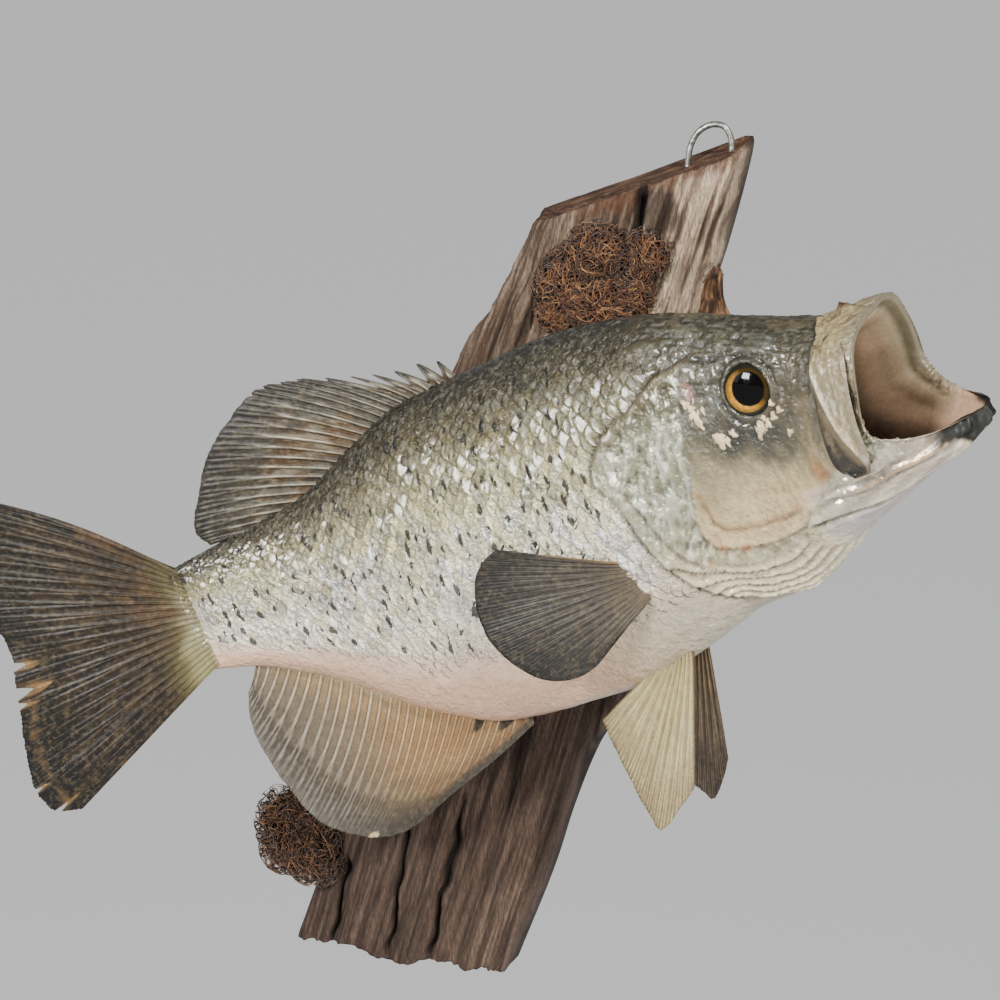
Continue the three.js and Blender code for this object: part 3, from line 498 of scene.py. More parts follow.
    for size, depth in bumps:
        bump(noise_node(size, 4.0), depth)
    for size, depth in (cells or ()):
        v = nodes.new("ShaderNodeTexVoronoi")
        v.feature = "F1"
        v.inputs["Scale"].default_value = 1000.0 / size
        warp = nodes.new("ShaderNodeVectorMath")
        warp.operation = "MULTIPLY_ADD"
        nn = nodes.new("ShaderNodeTexNoise")
        nn.inputs["Scale"].default_value = 1000.0 / (size * 1.4)
        links.new(space, nn.inputs["Vector"])
        warp.inputs[1].default_value = (size * 0.0016,) * 3
        links.new(nn.outputs["Color"], warp.inputs[0])
        links.new(space, warp.inputs[2])
        links.new(warp.outputs["Vector"], v.inputs["Vector"])
        bump(v.outputs["Distance"], depth)
    if normal is not None:
        links.new(normal, p.inputs["Normal"])
    return m


skin_mat = material("fish_skin", mottle=((1.3, 0.16), (6.0, 0.09), (24.0, 0.07)), hue=(4.0, "#8a7350", 0.12),
                    bumps=((3.0, 0.50), (1.0, 0.26)), coat=0.60, coat_rough=0.11, metal=True, cells=((3.8, 0.50), (1.7, 0.24)), calm=True)
scale_mat = material("fish_scales", mottle=((0.9, 0.24), (5.0, 0.16)), hue=(3.0, "#cfcbb6", 0.16),
                     bumps=((1.7, 0.75), (0.6, 0.22)), coat=0.75, coat_rough=0.17, metal=True, cells=((2.0, 0.80), (0.9, 0.28)), dashes=True)
bone_mat = material("jaw_bone", mottle=((1.0, 0.16), (5.0, 0.15)), hue=(2.4, "#6b5a3e", 0.35),
                    bumps=((1.8, 0.22), (0.5, 0.08)), coat=0.3, coat_rough=0.2, metal=True)
fin_mat = material("fin_membrane", mottle=((0.8, 0.24), (4.0, 0.16)), hue=(2.0, "#8c7a58", 0.18),
                   bumps=((1.1, 0.26), (0.4, 0.10)), coat=0.10, coat_rough=0.28, spec=0.32, metal=True)
wood_mat = material("driftwood", mottle=((0.34, 0.42), (0.9, 0.30), (16.0, 0.12)), hue=(0.8, "#241a14", 0.50),
                    bumps=((1.9, 0.8), (0.7, 0.5)), rough=0.05, spec=0.3, cells=((5.0, 0.5),),
                    stretch=((1.0, 1.0, 0.13), (0.0, rad(-16.7), 0.0)))
moss_mat = material("dry_moss", mottle=((1.0, 0.3),), bumps=((0.6, 0.1),), spec=0.25, sheen=0.2)
wire_mat = material("galvanised_wire", mottle=((0.8, 0.15), (3.0, 0.12)), hue=(1.6, "#6c6a64", 0.5), bumps=((0.5, 0.05),), metal=True)
eye_mat = material("glass_eye", mottle=((0.5, 0.08),), coat=0.30, coat_rough=0.015, spec=0.10)
eye_mat.node_tree.nodes["Principled BSDF"].inputs["IOR"].default_value = 1.5


# ============================================================ the fish's markings, with painted shade and highlight in creases and folds, the same on skin and scales
EYE = {"s": 34.8, "z": 25.6, "y": 17.2, "rim": 9.1, "dome": 3.4, "depth": 5}
OPERC = [(252, .185), (239, .235), (230, .263), (220, .312), (212, .340), (203, .367), (197, .405), (194.5, .445), (200, .480), (203, .527),
         (205, .578), (208, .635), (213, .69), (220, .763), (228, .833), (236, .875), (248, .93), (258, .975)]
OPERC2 = [(200, .448), (206, .478), (209, .52), (211.5, .572), (215, .622), (221, .672), (230, .728), (240, .765)]
PREOP = [(239, .285), (237, .318), (236, .36), (234, .425), (232, .482), (228.5, .542), (226.5, .6), (229, .645), (237, .667), (248, .682), (262, .682), (268, .655)]
CHEEK = [(231, .53), (232, .56), (232.5, .593), (236, .618), (241, .628), (250, .632), (258, .638), (265, .636)]
FOLD = [(293, .24), (291, .30), (289.5, .367), (286.5, .435), (283.5, .485), (280.5, .542), (279, .613)]
JAW_RIDGE = [(266, .622), (272, .630), (278, .635), (286, .672), (298, .695), (304, .782), (306, .88)]
MAND = [(262, .69), (272, .712), (277, .743), (280, .785), (286, .822), (294, .875), (301, .94), (303, .99)]
PLEAT_TOP = [(206, .60), (214, .612), (222, .662), (234, .715), (248, .722), (260, .700)]
PLEAT_END = [(226, .833), (233, .885), (246, .925), (257, .935), (268, .885), (281, .792)]
N_PLEATS = 6
SNOUT = [(286, -.01), (287, .03), (288.5, .09), (290.5, .15), (291.8, .22), (292.4, .30), (292.6, .36)]


def speckle(s, z, seed, cell=(7.5, 8.5), size=(0.75, 2.4), chance=0.5, slant=0.12, cone=False):
    """short dark dashes that stand across the body, one at most in each cell of a jittered grid"""
    out = np.zeros(np.shape(s))
    ci, cj = np.floor(s / cell[0]), np.floor(z / cell[1])
    for di in (-1, 0, 1):
        for dj in (-1, 0, 1):
            a, b = (ci + di).astype(np.int64), (cj + dj).astype(np.int64)
            k = np.zeros_like(a)
            cx = (a + 0.1 + 0.8 * hashed(a, b, k, seed)) * cell[0]
            cz = (b + 0.1 + 0.8 * hashed(a, b, k, seed + 1)) * cell[1]
            on = hashed(a, b, k, seed + 2) < chance
            big = 0.55 + 0.7 * hashed(a, b, k, seed + 3)
            lean = slant + 0.5 * (hashed(a, b, k, seed + 4) - 0.5)
            dz = (z - cz) / (size[1] * big)
            dx = (s - cx - lean * (z - cz) + 0.25 * dz * dz) / (size[0] * (0.7 + 0.6 * hashed(a, b, k, seed + 5)))
            r = np.hypot(dx, dz)
            out = np.maximum(out, np.where(on, np.clip(1.3 - r, 0, 1) if cone else 1 - sstep(0.55, 1.15, r), 0))
    return out


def dash_field(w, u):
    """0-1, above about a half inside the dark dashes of the flank"""
    sp = surface(w, u)
    s, z = sp[..., 0], sp[..., 2]
    uu = np.where(u <= 1, u, 2 - u)
    n1 = fbm(w * 0.05, uu * GIRTH * 0.05, np.where(u <= 1, 0.0, 31.7), 4, 5)
    dash = speckle(s, z, 71, cell=(7.8, 8.8), size=(1.10, 3.8), chance=0.62, cone=True)
    small = speckle(s, z, 271, cell=(6.2, 6.6), size=(0.72, 1.9), chance=0.34, cone=True)
    here = sstep(0.10, 0.17, uu) * sstep(0.74, 0.64, uu + 0.03 * n1) * sstep(98, 112, s)
    return np.maximum(dash, small) * here


def blob(w, u, w0, u0, rw, ru, soft=0.5, rough=0.25, seed=0):
    uu = np.where(u <= 1, u, 2 - u)
    r = np.hypot((w - w0) / rw, (uu - u0) * GIRTH / ru)
    r = r + rough * fbm(w * 0.16, uu * GIRTH * 0.16, np.where(u <= 1, 0.0, 7.5), 3, seed)
    return 1 - sstep(1 - soft, 1 + soft * 0.3, r)


def crease_lines(X, Y, side):
    """long angular creases of shrunken skin: (raised, sunk), each 0-1"""
    warp = 2.4 * noise(X * 0.12, Y * 0.12, side, 52)
    up = (1 - np.abs(noise(X * 0.20 + warp, Y * 0.07 - 0.5 * warp, side, 53))) ** 7
    down = (1 - np.abs(noise(X * 0.09 - warp, Y * 0.20 + 0.6 * warp, side, 54))) ** 8
    return up, down


def markings_and_painted_light(w, u):
    """colour, roughness, metal of the fish at (w, u); the colour also holds painted shade and highlight in the creases
    and folds
    """
    sp = surface(w, u)
    s, y, z = sp[..., 0], sp[..., 1], sp[..., 2]
    uu = np.where(u <= 1, u, 2 - u)
    side = np.where(u <= 1, 0.0, 31.7)
    X, Y = w, uu * GIRTH
    n1 = fbm(X * 0.05, Y * 0.05, side, 4, 5)
    n2 = fbm(X * 0.22, Y * 0.22, side, 4, 9)
    n3 = fbm(X * 0.8, Y * 0.8, side, 3, 13)
    # ---- body
    tail = sstep(205, 262, s)
    v = uu + 0.018 * n1 + 0.010 * n2 + 0.055 * tail * (uu < 0.5) * 0.6
    body = ramp(v, [(0.0, "#16130c"), (0.10, "#1e1a10"), (0.165, "#302a1a"), (0.23, "#413a27"), (0.31, "#716a4b"), (0.42, "#b8b18b"),
                    (0.55, "#e3dec6"), (0.66, "#dfcfba"), (0.76, "#d0a98d"), (0.90, "#bd977b"), (1.0, "#b3917a")])
    body = tint(body, "#d2cdd2", 0.75 * bell(uu - 0.47 - 0.03 * n1, 0.10) * sstep(185, 245, s) * (0.55 + 0.5 * n2))   # lilac-white by the tail
    body = tint(body, "#cdccd8", 0.42 * sstep(0.15, 0.7, n2) * bell(uu - 0.52, 0.14) * (s > 60))                       # lilac patches
    body = tint(body, "#b3ad7e", 0.50 * sstep(-0.1, 0.7, -n1) * bell(uu - 0.44, 0.14))                                # greenish cream
    body = tint(body, "#c79a80", 0.6 * sstep(0.62, 0.74, uu + 0.02 * n1) * bell(s - 205, 60) * (0.75 + 0.3 * n2))      # peach belly
    body = tint(body, "#a79e83", 0.65 * sstep(0.62, 0.78, uu) * bell(s - 100, 34))                                     # breast, olive cream
    body = tint(body, "#6c6450", 0.45 * sstep(0.1, 0.8, n2) * bell(uu - 0.26, 0.11))
    rough = 0.27 + 0.20 * sstep(0.64, 0.76, uu) + 0.12 * sstep(0.22, 0.1, uu) + 0.05 * n3
    metal = 0.50 * bell(uu - 0.42, 0.19) * (0.75 + 0.5 * n2)
    # dashes
    body = tint(body, "#a9a38d", 0.65 * sstep(138, 104, s) * sstep(0.64, 0.76, uu))
    fine = speckle(s, z, 171, cell=(4.6, 5.2), size=(0.8, 1.9), chance=0.22) * sstep(0.12, 0.2, uu) * sstep(0.72, 0.55, uu) * 0.5
    body = tint(body, "#26221a", fine * sstep(80, 100, s))
    # lateral line: short slanting dashes
    lat = Curve([95, 119, 137, 155, 175, 217, 259, 294], [27.2, 27.8, 26.4, 25.9, 22.8, 14.9, 6.7, 2.7])(s)
    pitch = 5.2
    ph = (s / pitch) % 1.0
    q = (z - lat) - (ph - 0.5) * 1.8
    body = tint(body, "#3b3629", 0.6 * bell(q, 0.42) * sstep(0.1, 0.25, ph) * sstep(0.95, 0.8, ph) * sstep(92, 98, s))
    # ---- head
    head = ramp(uu + 0.03 * n1 + 0.016 * n2, [(0.0, "#211f16"), (0.10, "#2a281d"), (0.20, "#363327"), (0.30, "#403c2f"), (0.40, "#504c3b"),
                                             (0.46, "#756d54"), (0.53, "#998c69"), (0.62, "#b9a277"), (0.70, "#c2ad86"), (0.82, "#c9b99b"), (1.0, "#baa98d")])
    net = ridged(w * 0.30, uu * GIRTH * 0.30, np.where(u <= 1, 0.0, 17.3), 3, 43)
    head = tint(head, "#78755f", 0.22 * sstep(0.52, 0.85, net) * sstep(0.50, 0.38, uu))
    head = tint(head, "#24231b", 0.12 * sstep(0.42, 0.15, net) * sstep(0.50, 0.38, uu))
    head = tint(head, "#85877f", 0.35 * sstep(0.25, 0.8, n2) * sstep(0.08, 0.2, uu) * sstep(0.46, 0.36, uu))          # silvery glints on the cheek
    head = tint(head, "#5d5238", 0.45 * sstep(0.2, 0.8, -n1 + 0.3 * n3) * sstep(0.42, 0.30, uu))
    head = tint(head, "#25231e", 0.92 * blob(w, u, 252, 0.425, 19, 8.5, 0.9, 0.2, 3))                                  # smudge under the eye
    head = tint(head, "#2b2a25", 0.85 * blob(w, u, 268, 0.452, 11, 9, 0.9, 0.25, 4))
    head = tint(head, "#2b2a24", 0.6 * bell(np.hypot(s - 35, z - 25.6), 14.5))                                          # dark round the eye
    head = tint(head, "#4d4534", 0.7 * blob(w, u, 281, 0.30, 9, 17, 0.8, 0.3, 6))                                      # brown-grey between eye and jaw
    head = tint(head, "#7f7053", 0.85 * blob(w, u, 284, 0.47, 5.5, 22, 0.7, 0.25, 7))                                  # loose fold behind the jaw bone
    head = tint(head, "#a89a78", 0.6 * blob(w, u, 284, 0.50, 3.2, 16, 0.9, 0.4, 17))
    head = tint(head, "#a8713c", 0.60 * blob(w, u, 280.5, 0.565, 4.2, 9.5, 0.9, 0.5, 8) * (0.6 + 0.5 * n2))            # orange stain
    head = tint(head, "#cdc3c3", 0.85 * blob(w, u, 284, 0.632, 10, 4.5, 0.8, 0.2, 9))                                  # lilac-white at the jaw joint
    head = tint(head, "#ab7f74", 0.6 * blob(w, u, 241, 0.302, 2.6, 3.2, 0.8, 0.4, 10))                                  # pink spot
    # silver gill cover
    o_d, o_a = to_line(OPERC, w, u)
    o_side = OPERC_SIDE
    cover = sstep(-0.6, 0.6, o_d * o_side)
    p_d, p_a = to_line(PREOP, w, u)
    behind = sstep(0.4, -0.8, p_d * PREOP_SIDE)
    plate = cover * behind * sstep(0.20, 0.30, uu) * sstep(0.86, 0.62, uu)
    head = tint(head, "#9b9c80", 0.88 * plate)
    head = tint(head, "#d0d2c0", 0.65 * plate * sstep(-0.05, 0.5, n2) * sstep(0.36, 0.43, uu) * sstep(0.62, 0.5, uu))
    foil = ridged(w * 0.24 + 0.07 * uu * GIRTH, uu * GIRTH * 0.26, np.where(u <= 1, 0.0, 17.3), 3, 51)
    # painted highlight on the raised foil ridges of the gill cover and painted shade in the hollows between them
    head = tint(head, "#e6e8dc", 0.26 * plate * sstep(0.55, 0.85, foil))
    head = tint(head, "#8f907a", 0.10 * plate * sstep(0.42, 0.15, foil))
    head = tint(head, "#54503a", plate * sstep(0.40, 0.33, uu + 0.02 * n2) * 0.85)
    head = tint(head, "#5a4532", 0.55 * plate * sstep(7, 1, np.abs(o_d)) * sstep(0.45, 0.38, uu + 0.02 * n2) * (0.5 + 0.6 * sstep(-0.2, 0.4, n3)))
    head = tint(head, "#23201a", 0.9 * bell(np.hypot(w - 217, (uu - 0.405) * GIRTH), 1.5))
    head = tint(head, "#b9ad8c", 0.55 * plate * sstep(0.57, 0.66, uu))
    crease = crease_lines(X, Y, side)
    # painted shade in the sunk creases and painted highlight on the raised ones
    head = tint(head, "#5f5b45", 0.45 * plate * sstep(0.45, 0.85, crease[1]))
    head = tint(head, "#eceada", 0.55 * plate * sstep(0.45, 0.85, crease[0]))
    # ridge and creases
    head = tint(head, "#c6c3b2", 0.5 * bell(p_d + 0.4 * PREOP_SIDE, 0.55) * sstep(0.0, 0.1, p_a) * sstep(0.52, 0.42, p_a))
    head = tint(head, "#6f5638", 0.55 * bell(p_d, 0.6) * sstep(0.42, 0.52, p_a))
    c_d, c_a = to_line(CHEEK, w, u)
    head = tint(head, "#a3662c", 0.6 * bell(c_d + 0.8, 1.2) * (0.5 + 0.6 * sstep(-0.3, 0.4, n2)))
    # painted shade in the cheek crease
    head = tint(head, "#4a3623", 0.75 * bell(c_d, 0.45) * sstep(0.3, 0.6, c_a))
    head = tint(head, "#d1bd93", 0.5 * bell(np.hypot(w - 247, (uu - 0.585) * GIRTH) , 7))
    for (w0, u0) in ((231, .648), (239, .672), (259, .83), (253, .872), (262, .800), (224, .68)):
        head = tint(head, "#a5683a", 0.8 * bell(np.hypot(w - w0, (uu - u0) * GIRTH) * (1 + 0.4 * n3), 1.7))
    # jaw, outside
    j_d, j_a = to_line(JAW_RIDGE, w, u)
    jaw = sstep(266, 274, w + 0.1 * (uu - 0.6) * GIRTH) * sstep(0.575, 0.62, uu)
    head = tint(head, "#c8baa5", 0.75 * jaw)
    stripe = noise(w * 0.05, (uu * GIRTH) * 0.42, side, 21)
    head = tint(head, "#a99f9f", 0.55 * jaw * sstep(0.05, 0.6, stripe))
    head = tint(head, "#e0d9c6", 0.6 * jaw * sstep(0.1, 0.6, -stripe))
    head = tint(head, "#b98e5e", 0.6 * bell(j_d + 0.6, 1.1) * sstep(0.2, 0.45, j_a))
    m_d, m_a = to_line(MAND, w, u)
    # painted shade in the groove along the lower jaw
    head = tint(head, "#5e4a34", 0.7 * bell(m_d, 0.6) * sstep(0.0, 0.05, m_a))
    head = tint(head, "#b0a9ad", 0.65 * sstep(0, 2.5, m_d * MAND_SIDE) * sstep(262, 270, w) * sstep(0.68, 0.74, uu))
    # gill membrane pleats: pale membrane, with painted shade in the creases and in the valleys between the folds
    pl = pleat_field(w, u)
    head = tint(head, "#dccfae", 0.9 * pl[1])
    head = tint(head, "#5f4c34", 0.9 * pl[1] * sstep(0.80, 0.98, pl[0]))
    head = tint(head, "#a58e68", 0.5 * pl[1] * sstep(0.35, 0.0, pl[0]))
    # the snout
    s_d, s_a = to_line(SNOUT, w, u)
    s_d = s_d * SNOUT_SIDE
    snout = sstep(-0.3, 0.6, s_d) * sstep(0.40, 0.30, uu)
    head = tint(head, "#9a8a64", 0.92 * snout)
    head = tint(head, "#a3936c", 0.7 * snout * blob(w, u, 296, 0.10, 9, 13, 0.6, 0.35, 12))
    head = tint(head, "#4b3c26", 0.7 * snout * sstep(0.0, 0.5, n2 + 0.4 * n3) * sstep(0.16, 0.06, uu))
    head = tint(head, "#7b7565", 0.6 * snout * sstep(303, 308, w))
    # painted shade in the groove under the snout plate's edge and in the pit of the nostril
    head = tint(head, "#1c140c", 0.75 * bell(s_d + 0.5, 0.8) * (0.55 + 0.6 * sstep(-0.2, 0.5, n3)) * sstep(0.42, 0.3, uu))
    head = tint(head, "#160a05", bell(np.maximum(np.abs(w - 296.6) / 1.6, np.abs(uu - 0.152) * GIRTH / 3.0) ** 2.2, 1.0))
    # black-green lip
    lip = sstep(0.725, 0.79, uu + 0.012 * n2)
    lip_low = sstep(-1.2, 1.0, w + 1.3 * n2 - (303.5 - 5.0 * sstep(0.80, 0.95, uu)))
    head = tint(head, "#080a07", 1.0 * lip * lip_low)
    head = tint(head, "#30362d", 0.22 * lip * lip_low * sstep(0.35, 0.8, n3 + 0.5 * n2))
    # ---- the mouth
    t = w - W_RIM
    # the lining's own colours near the rim, going over into painted shade deep in the throat
    inner = ramp(t + 0.5 * n2, [(0, "#8f866f"), (3, "#988c72"), (9, "#b5a182"), (17, "#b6997b"), (26, "#94785f"), (36, "#4c3628"), (46, "#0d0704"), (58, "#050201")])
    inner = tint(inner, "#cba486", 0.90 * sstep(0.64, 0.80, uu) * sstep(30, 10, t))                                   # peach floor
    inner = tint(inner, "#d3b394", 0.6 * sstep(0.84, 0.96, uu) * sstep(22, 8, t))
    inner = tint(inner, "#a88872", 0.45 * sstep(0.46, 0.62, uu) * sstep(0.84, 0.72, uu) * sstep(34, 14, t) * (0.6 + 0.5 * n2))
    inner = tint(inner, "#6e6753", 0.85 * sstep(11, 5, t) * sstep(0.62, 0.45, uu))                                    # grey-olive upper lining
    inner = tint(inner, "#a99a7a", 0.6 * bell(t - 9.5, 1.6) * sstep(0.60, 0.45, uu))
    streak = noise(uu * 34 + 1.2 * n2, t * 0.05, side, 33)
    inner = tint(inner, "#4a3626", 0.10 * sstep(0.15, 0.7, streak) * sstep(6, 14, t) * sstep(28, 16, t))
    inner = tint(inner, "#b8a084", 0.30 * sstep(0.15, 0.7, -streak) * sstep(4, 11, t) * sstep(26, 16, t))
    fold = throat_folds(w, u)
    # painted shade in the valleys of the throat folds and painted highlight on their ridges
    inner = tint(inner, "#5b4332", 0.45 * sstep(0.05, -0.5, fold) * sstep(5, 14, t))
    inner = tint(inner, "#d9bd9d", 0.35 * sstep(0.15, 0.6, fold) * sstep(4, 12, t) * sstep(28, 18, t))
    # painted shade deep in the throat
    inner = tint(inner, "#140a06", 0.92 * sstep(15, 33, t + 6 * sstep(0.35, 0.6, uu) * (u <= 1)))
    mouth = sstep(W_RIM - 0.6, W_RIM + 1.2, w)
    mouth = mouth * (1 - lip * sstep(0.80, 0.88, uu) * sstep(314.5, 311.5, w))
    # ---- together
    nape = sstep(0.30, 0.20, uu) * sstep(212, 246, w)
    is_head = np.maximum(cover, sstep(244, 252, w))
    is_head = np.where(uu < 0.27, np.maximum(nape, is_head * sstep(228, 250, w)), is_head)
    col = body * (1 - is_head[..., None]) + head * is_head[..., None]
    # painted shade in the sunk skin just behind the gill cover's edge
    col = tint(col, "#191510", 0.75 * bell(o_d + 0.7 * o_side, 0.7) * sstep(0.08, 0.2, o_a) * sstep(0.95, 0.7, o_a) * sstep(0.3, 0.2, np.abs(o_a - 0.35)) * 0.8)
    col = tint(col, "#4a4030", 0.55 * bell(o_d + 0.5 * o_side, 0.8))
    o2_d, o2_a = to_line(OPERC2, w, u)
    col = tint(col, "#5b4d38", 0.5 * bell(o2_d, 0.5) * sstep(0, 0.08, o2_a))
    col = col * (1 - mouth[..., None]) + inner * mouth[..., None]
    rough_h = 0.34 + 0.05 * n3 + 0.12 * sstep(0.2, 0.05, uu) - 0.12 * plate
    metal_h = 0.45 * plate * (0.75 + 0.4 * n2) + 0.18 * jaw + 0.12 * pl[1]
    rough = np.where(is_head > 0.5, rough_h, rough)
    metal = metal * (1 - is_head) + metal_h * is_head
    rough = mix(rough, 0.42, mouth)
    rough = mix(rough, 0.58, lip * lip_low)
    metal = metal * (1 - mouth)
    # painted shade in the folds and under the gill cover's edge is in the colour above
    return col, np.clip(rough, 0.15, 0.9), np.clip(metal, 0, 0.7)


def pleat_field(w, u):
    """(saw-tooth 0-1 across each fold of the gill membrane, how much of the membrane is here)"""
    uu = np.where(u <= 1, u, 2 - u)
    top = through(PLEAT_TOP, np.linspace(0, 1, 25))
    end = through(PLEAT_END, np.linspace(0, 1, 25))
    # position between the two border lines, by the ratio of the distances to them
    d1, a1 = to_line(top, w, u)
    d2, a2 = to_line(end, w, u)
    d1, d2 = d1 * PLEAT_SIDE[0], d2 * PLEAT_SIDE[1]
    f = d1 / (d1 - d2 + 1e-6)
    inside = (d1 > 0) & (d2 < 0)
    f = np.where(inside, np.clip(f, 0, 1), 0)
    ends = sstep(0.0, 0.10, a1) * sstep(1.0, 0.93, a1)
    k = (f + 0.012 * noise(w * 0.12, uu * 30, 0.0, 3)) * N_PLEATS
    tooth = k - np.floor(k)
    return tooth, np.where(inside, sstep(0, 0.05, f) * sstep(1.0, 0.97, f) * ends, 0)


def side_of(line, w, u):
    d, _ = to_line(line, np.array([float(w)]), np.array([float(u)]))
    return float(np.sign(d[0]))


OPERC_SIDE = side_of(OPERC, 225, 0.45)         # plus towards the head
PREOP_SIDE = side_of(PREOP, 245, 0.5)          # plus on the cheek
SNOUT_SIDE = side_of(SNOUT, 298, 0.15)         # plus on the jaw
MAND_SIDE = side_of(MAND, 272, 0.80)           # plus below the jaw
PLEAT_SIDE = (side_of(through(PLEAT_TOP, np.linspace(0, 1, 25)), 240, 0.80), side_of(through(PLEAT_END, np.linspace(0, 1, 25)), 240, 0.98))


# ============================================================ the skin's own relief
def relief(w, u):
    """millimetres out (+) or in (-) from the outline that lies a coat's depth inside the solids"""
    sp = surface(w, u)
    s, z = sp[..., 0], sp[..., 2]
    uu = np.where(u <= 1, u, 2 - u)
    side = np.where(u <= 1, 0.0, 17.3)
    X, Y = w, uu * GIRTH
    still = np.maximum(sstep(264, 272, w) * sstep(0.56, 0.60, uu), sstep(W_RIM - 3, W_RIM + 1, w))
    d = 0.10 * (1 - 0.8 * still) * fbm(X * 0.5, Y * 0.5, side, 3, 41)
    head = sstep(205, 240, w) * sstep(W_RIM + 1, W_RIM - 1, w)
    # crinkled skin on the crown and the cheek
    crown = head * sstep(0.42, 0.30, uu)
    d = d + crown * 0.32 * (ridged(X * 0.30, Y * 0.30, side, 3, 43) - 0.4)
    d = d + head * 0.30 * (1 - 0.5 * still) * fbm(X * 0.11, Y * 0.11, side, 3, 47) + head * 0.15 * (1 - 0.9 * still) * ridged(X * 0.35, Y * 0.3, side, 3, 48)
    # gill cover
    o_d, o_a = to_line(OPERC, w, u)
    o = o_d * OPERC_SIDE
    far = sstep(0.99, 0.9, o_a)
    d = d + far * np.where(o > 0, 0.85 * np.exp(-np.maximum(o, 0) / 5.0), -0.75 * np.exp(-np.maximum(-o, 0) / 3.2)) * sstep(0, 0.5, np.abs(o)) * sstep(0.0, 0.1, o_a)
    o2_d, o2_a = to_line(OPERC2, w, u)
    o2 = o2_d * side_of(OPERC2, 225, 0.5)
    d = d + np.where(o2 > 0, 0.45 * np.exp(-np.maximum(o2, 0) / 2.5), -0.45 * np.exp(-np.maximum(-o2, 0) / 1.6)) * sstep(0, 0.08, o2_a) * sstep(1, 0.93, o2_a)
    p_d, p_a = to_line(PREOP, w, u)
    p = p_d * PREOP_SIDE
    d = d + np.where(p > 0, 0.45 * np.exp(-np.maximum(p, 0) / 3.0), -0.45 * np.exp(-np.maximum(-p, 0) / 2.4)) * sstep(0.0, 0.1, p_a) * sstep(1, 0.95, p_a)
    plate = sstep(0.5, 3, o) * sstep(0.5, -2, p) * sstep(0.22, 0.3, uu) * sstep(0.8, 0.65, uu)
    foil = ridged(X * 0.24 + 0.07 * Y, Y * 0.26, side, 3, 51)
    warp = 2.4 * noise(X * 0.12, Y * 0.12, side, 52)
    crease = crease_lines(X, Y, np.where(u <= 1, 0.0, 31.7))
    d = d + plate * (0.34 * (foil - 0.4) + 0.62 * crease[0] - 0.55 * crease[1])
    ch_ = head * sstep(0.30, 0.42, uu) * (1 - plate)
    d = d + ch_ * 0.22 * (1 - np.abs(noise(X * 0.16 + 0.8 * warp, Y * 0.06, side, 56))) ** 6
    # creases of the cheek
    c_d, c_a = to_line(CHEEK, w, u)
    d = d - 0.7 * bell(c_d, 0.9) * sstep(0, 0.1, c_a) * sstep(1, 0.93, c_a)
    c2 = [(x + 1.5, v + 0.022) for x, v in CHEEK[3:]]
    c2_d, c2_a = to_line(c2, w, u)
    d = d - 0.35 * bell(c2_d, 0.6)
    # fold behind the jaw bone, and upright wrinkles in it
    f_d, f_a = to_line(FOLD, w, u)
    d = d + 0.65 * bell(f_d, 1.6) * sstep(0, 0.1, f_a)
    wr = bell(w - 283, 9) * bell(uu - 0.42, 0.16)
    d = d + 0.30 * wr * np.sin(w * 1.15 + 2.2 * noise(X * 0.1, Y * 0.06, side, 55))
    # jaw
    j_d, j_a = to_line(JAW_RIDGE, w, u)
    d = d + 1.0 * bell(j_d, 1.6) * sstep(0.05, 0.2, j_a)
    d = d - 1.0 * bell(j_d - 2.9 * side_of(JAW_RIDGE, 285, 0.74), 1.3) * sstep(0.05, 0.2, j_a)
    d = d - 0.7 * bell(j_d + 3.4 * side_of(JAW_RIDGE, 285, 0.74), 1.3) * sstep(0.15, 0.3, j_a)
    jaw = sstep(268, 276, w) * sstep(0.57, 0.62, uu) * sstep(W_RIM, W_RIM - 2, w)
    d = d + 0.34 * jaw * noise(w * 0.045, Y * 0.34, side, 57)
    m_d, m_a = to_line(MAND, w, u)
    m = m_d * MAND_SIDE
    d = d + 0.5 * bell(m + 2.2, 1.5) * sstep(0.0, 0.06, m_a)
    d = d - 1.7 * bell(m - 0.3, 1.4) * sstep(0.0, 0.06, m_a) - 1.1 * sstep(0, 5, m) * sstep(262, 268, w) * sstep(0.69, 0.74, uu) * bell(uu - 0.88, 0.2)
    # pleats
    tooth, here = pleat_field(w, u)
    d = d + here * (1.35 * (tooth ** 1.3) * (1 - sstep(0.86, 1.0, tooth)) - 0.5)
    d = d + here * 0.16 * noise(X * 0.5, Y * 0.5, side, 61)
    # eye socket: the skin dips under the glass, with a low lid round it
    r = np.hypot(s - EYE["s"] - 0.5, z - EYE["z"])
    near = np.abs(sp[..., 1]) > 9
    d = d + np.where(near, -3.6 * (1 - sstep(6.6, 8.9, r)) + 0.75 * bell(r - 9.7, 0.85) - 0.45 * bell(r - 11.6, 0.9) + 0.3 * bell(r - 13.2, 1.0) * sstep(-4, 4, -(z - EYE["z"])), 0)
    # nostrils, knob
    d = d - 2.3 * bell(np.maximum(np.abs(w - 296.6) / 1.5, np.abs(uu - 0.152) * GIRTH / 2.9) ** 2.4, 1.0)
    # the plate of the snout stands over the skin behind it and runs on into the jaw bone
    s_d, s_a = to_line(SNOUT, w, u)
    s_d = s_d * SNOUT_SIDE
    d = d + np.where(s_d > 0, 0.8 * np.exp(-np.maximum(s_d, 0) / 14.0), -0.7 * np.exp(-np.maximum(-s_d, 0) / 2.2)) * sstep(0.42, 0.34, uu) * sstep(0, 0.6, np.abs(s_d)) * sstep(W_RIM, W_RIM - 3, w)
    d = d + 0.35 * bell(w - 301, 1.4) * sstep(0.3, 0.2, uu)
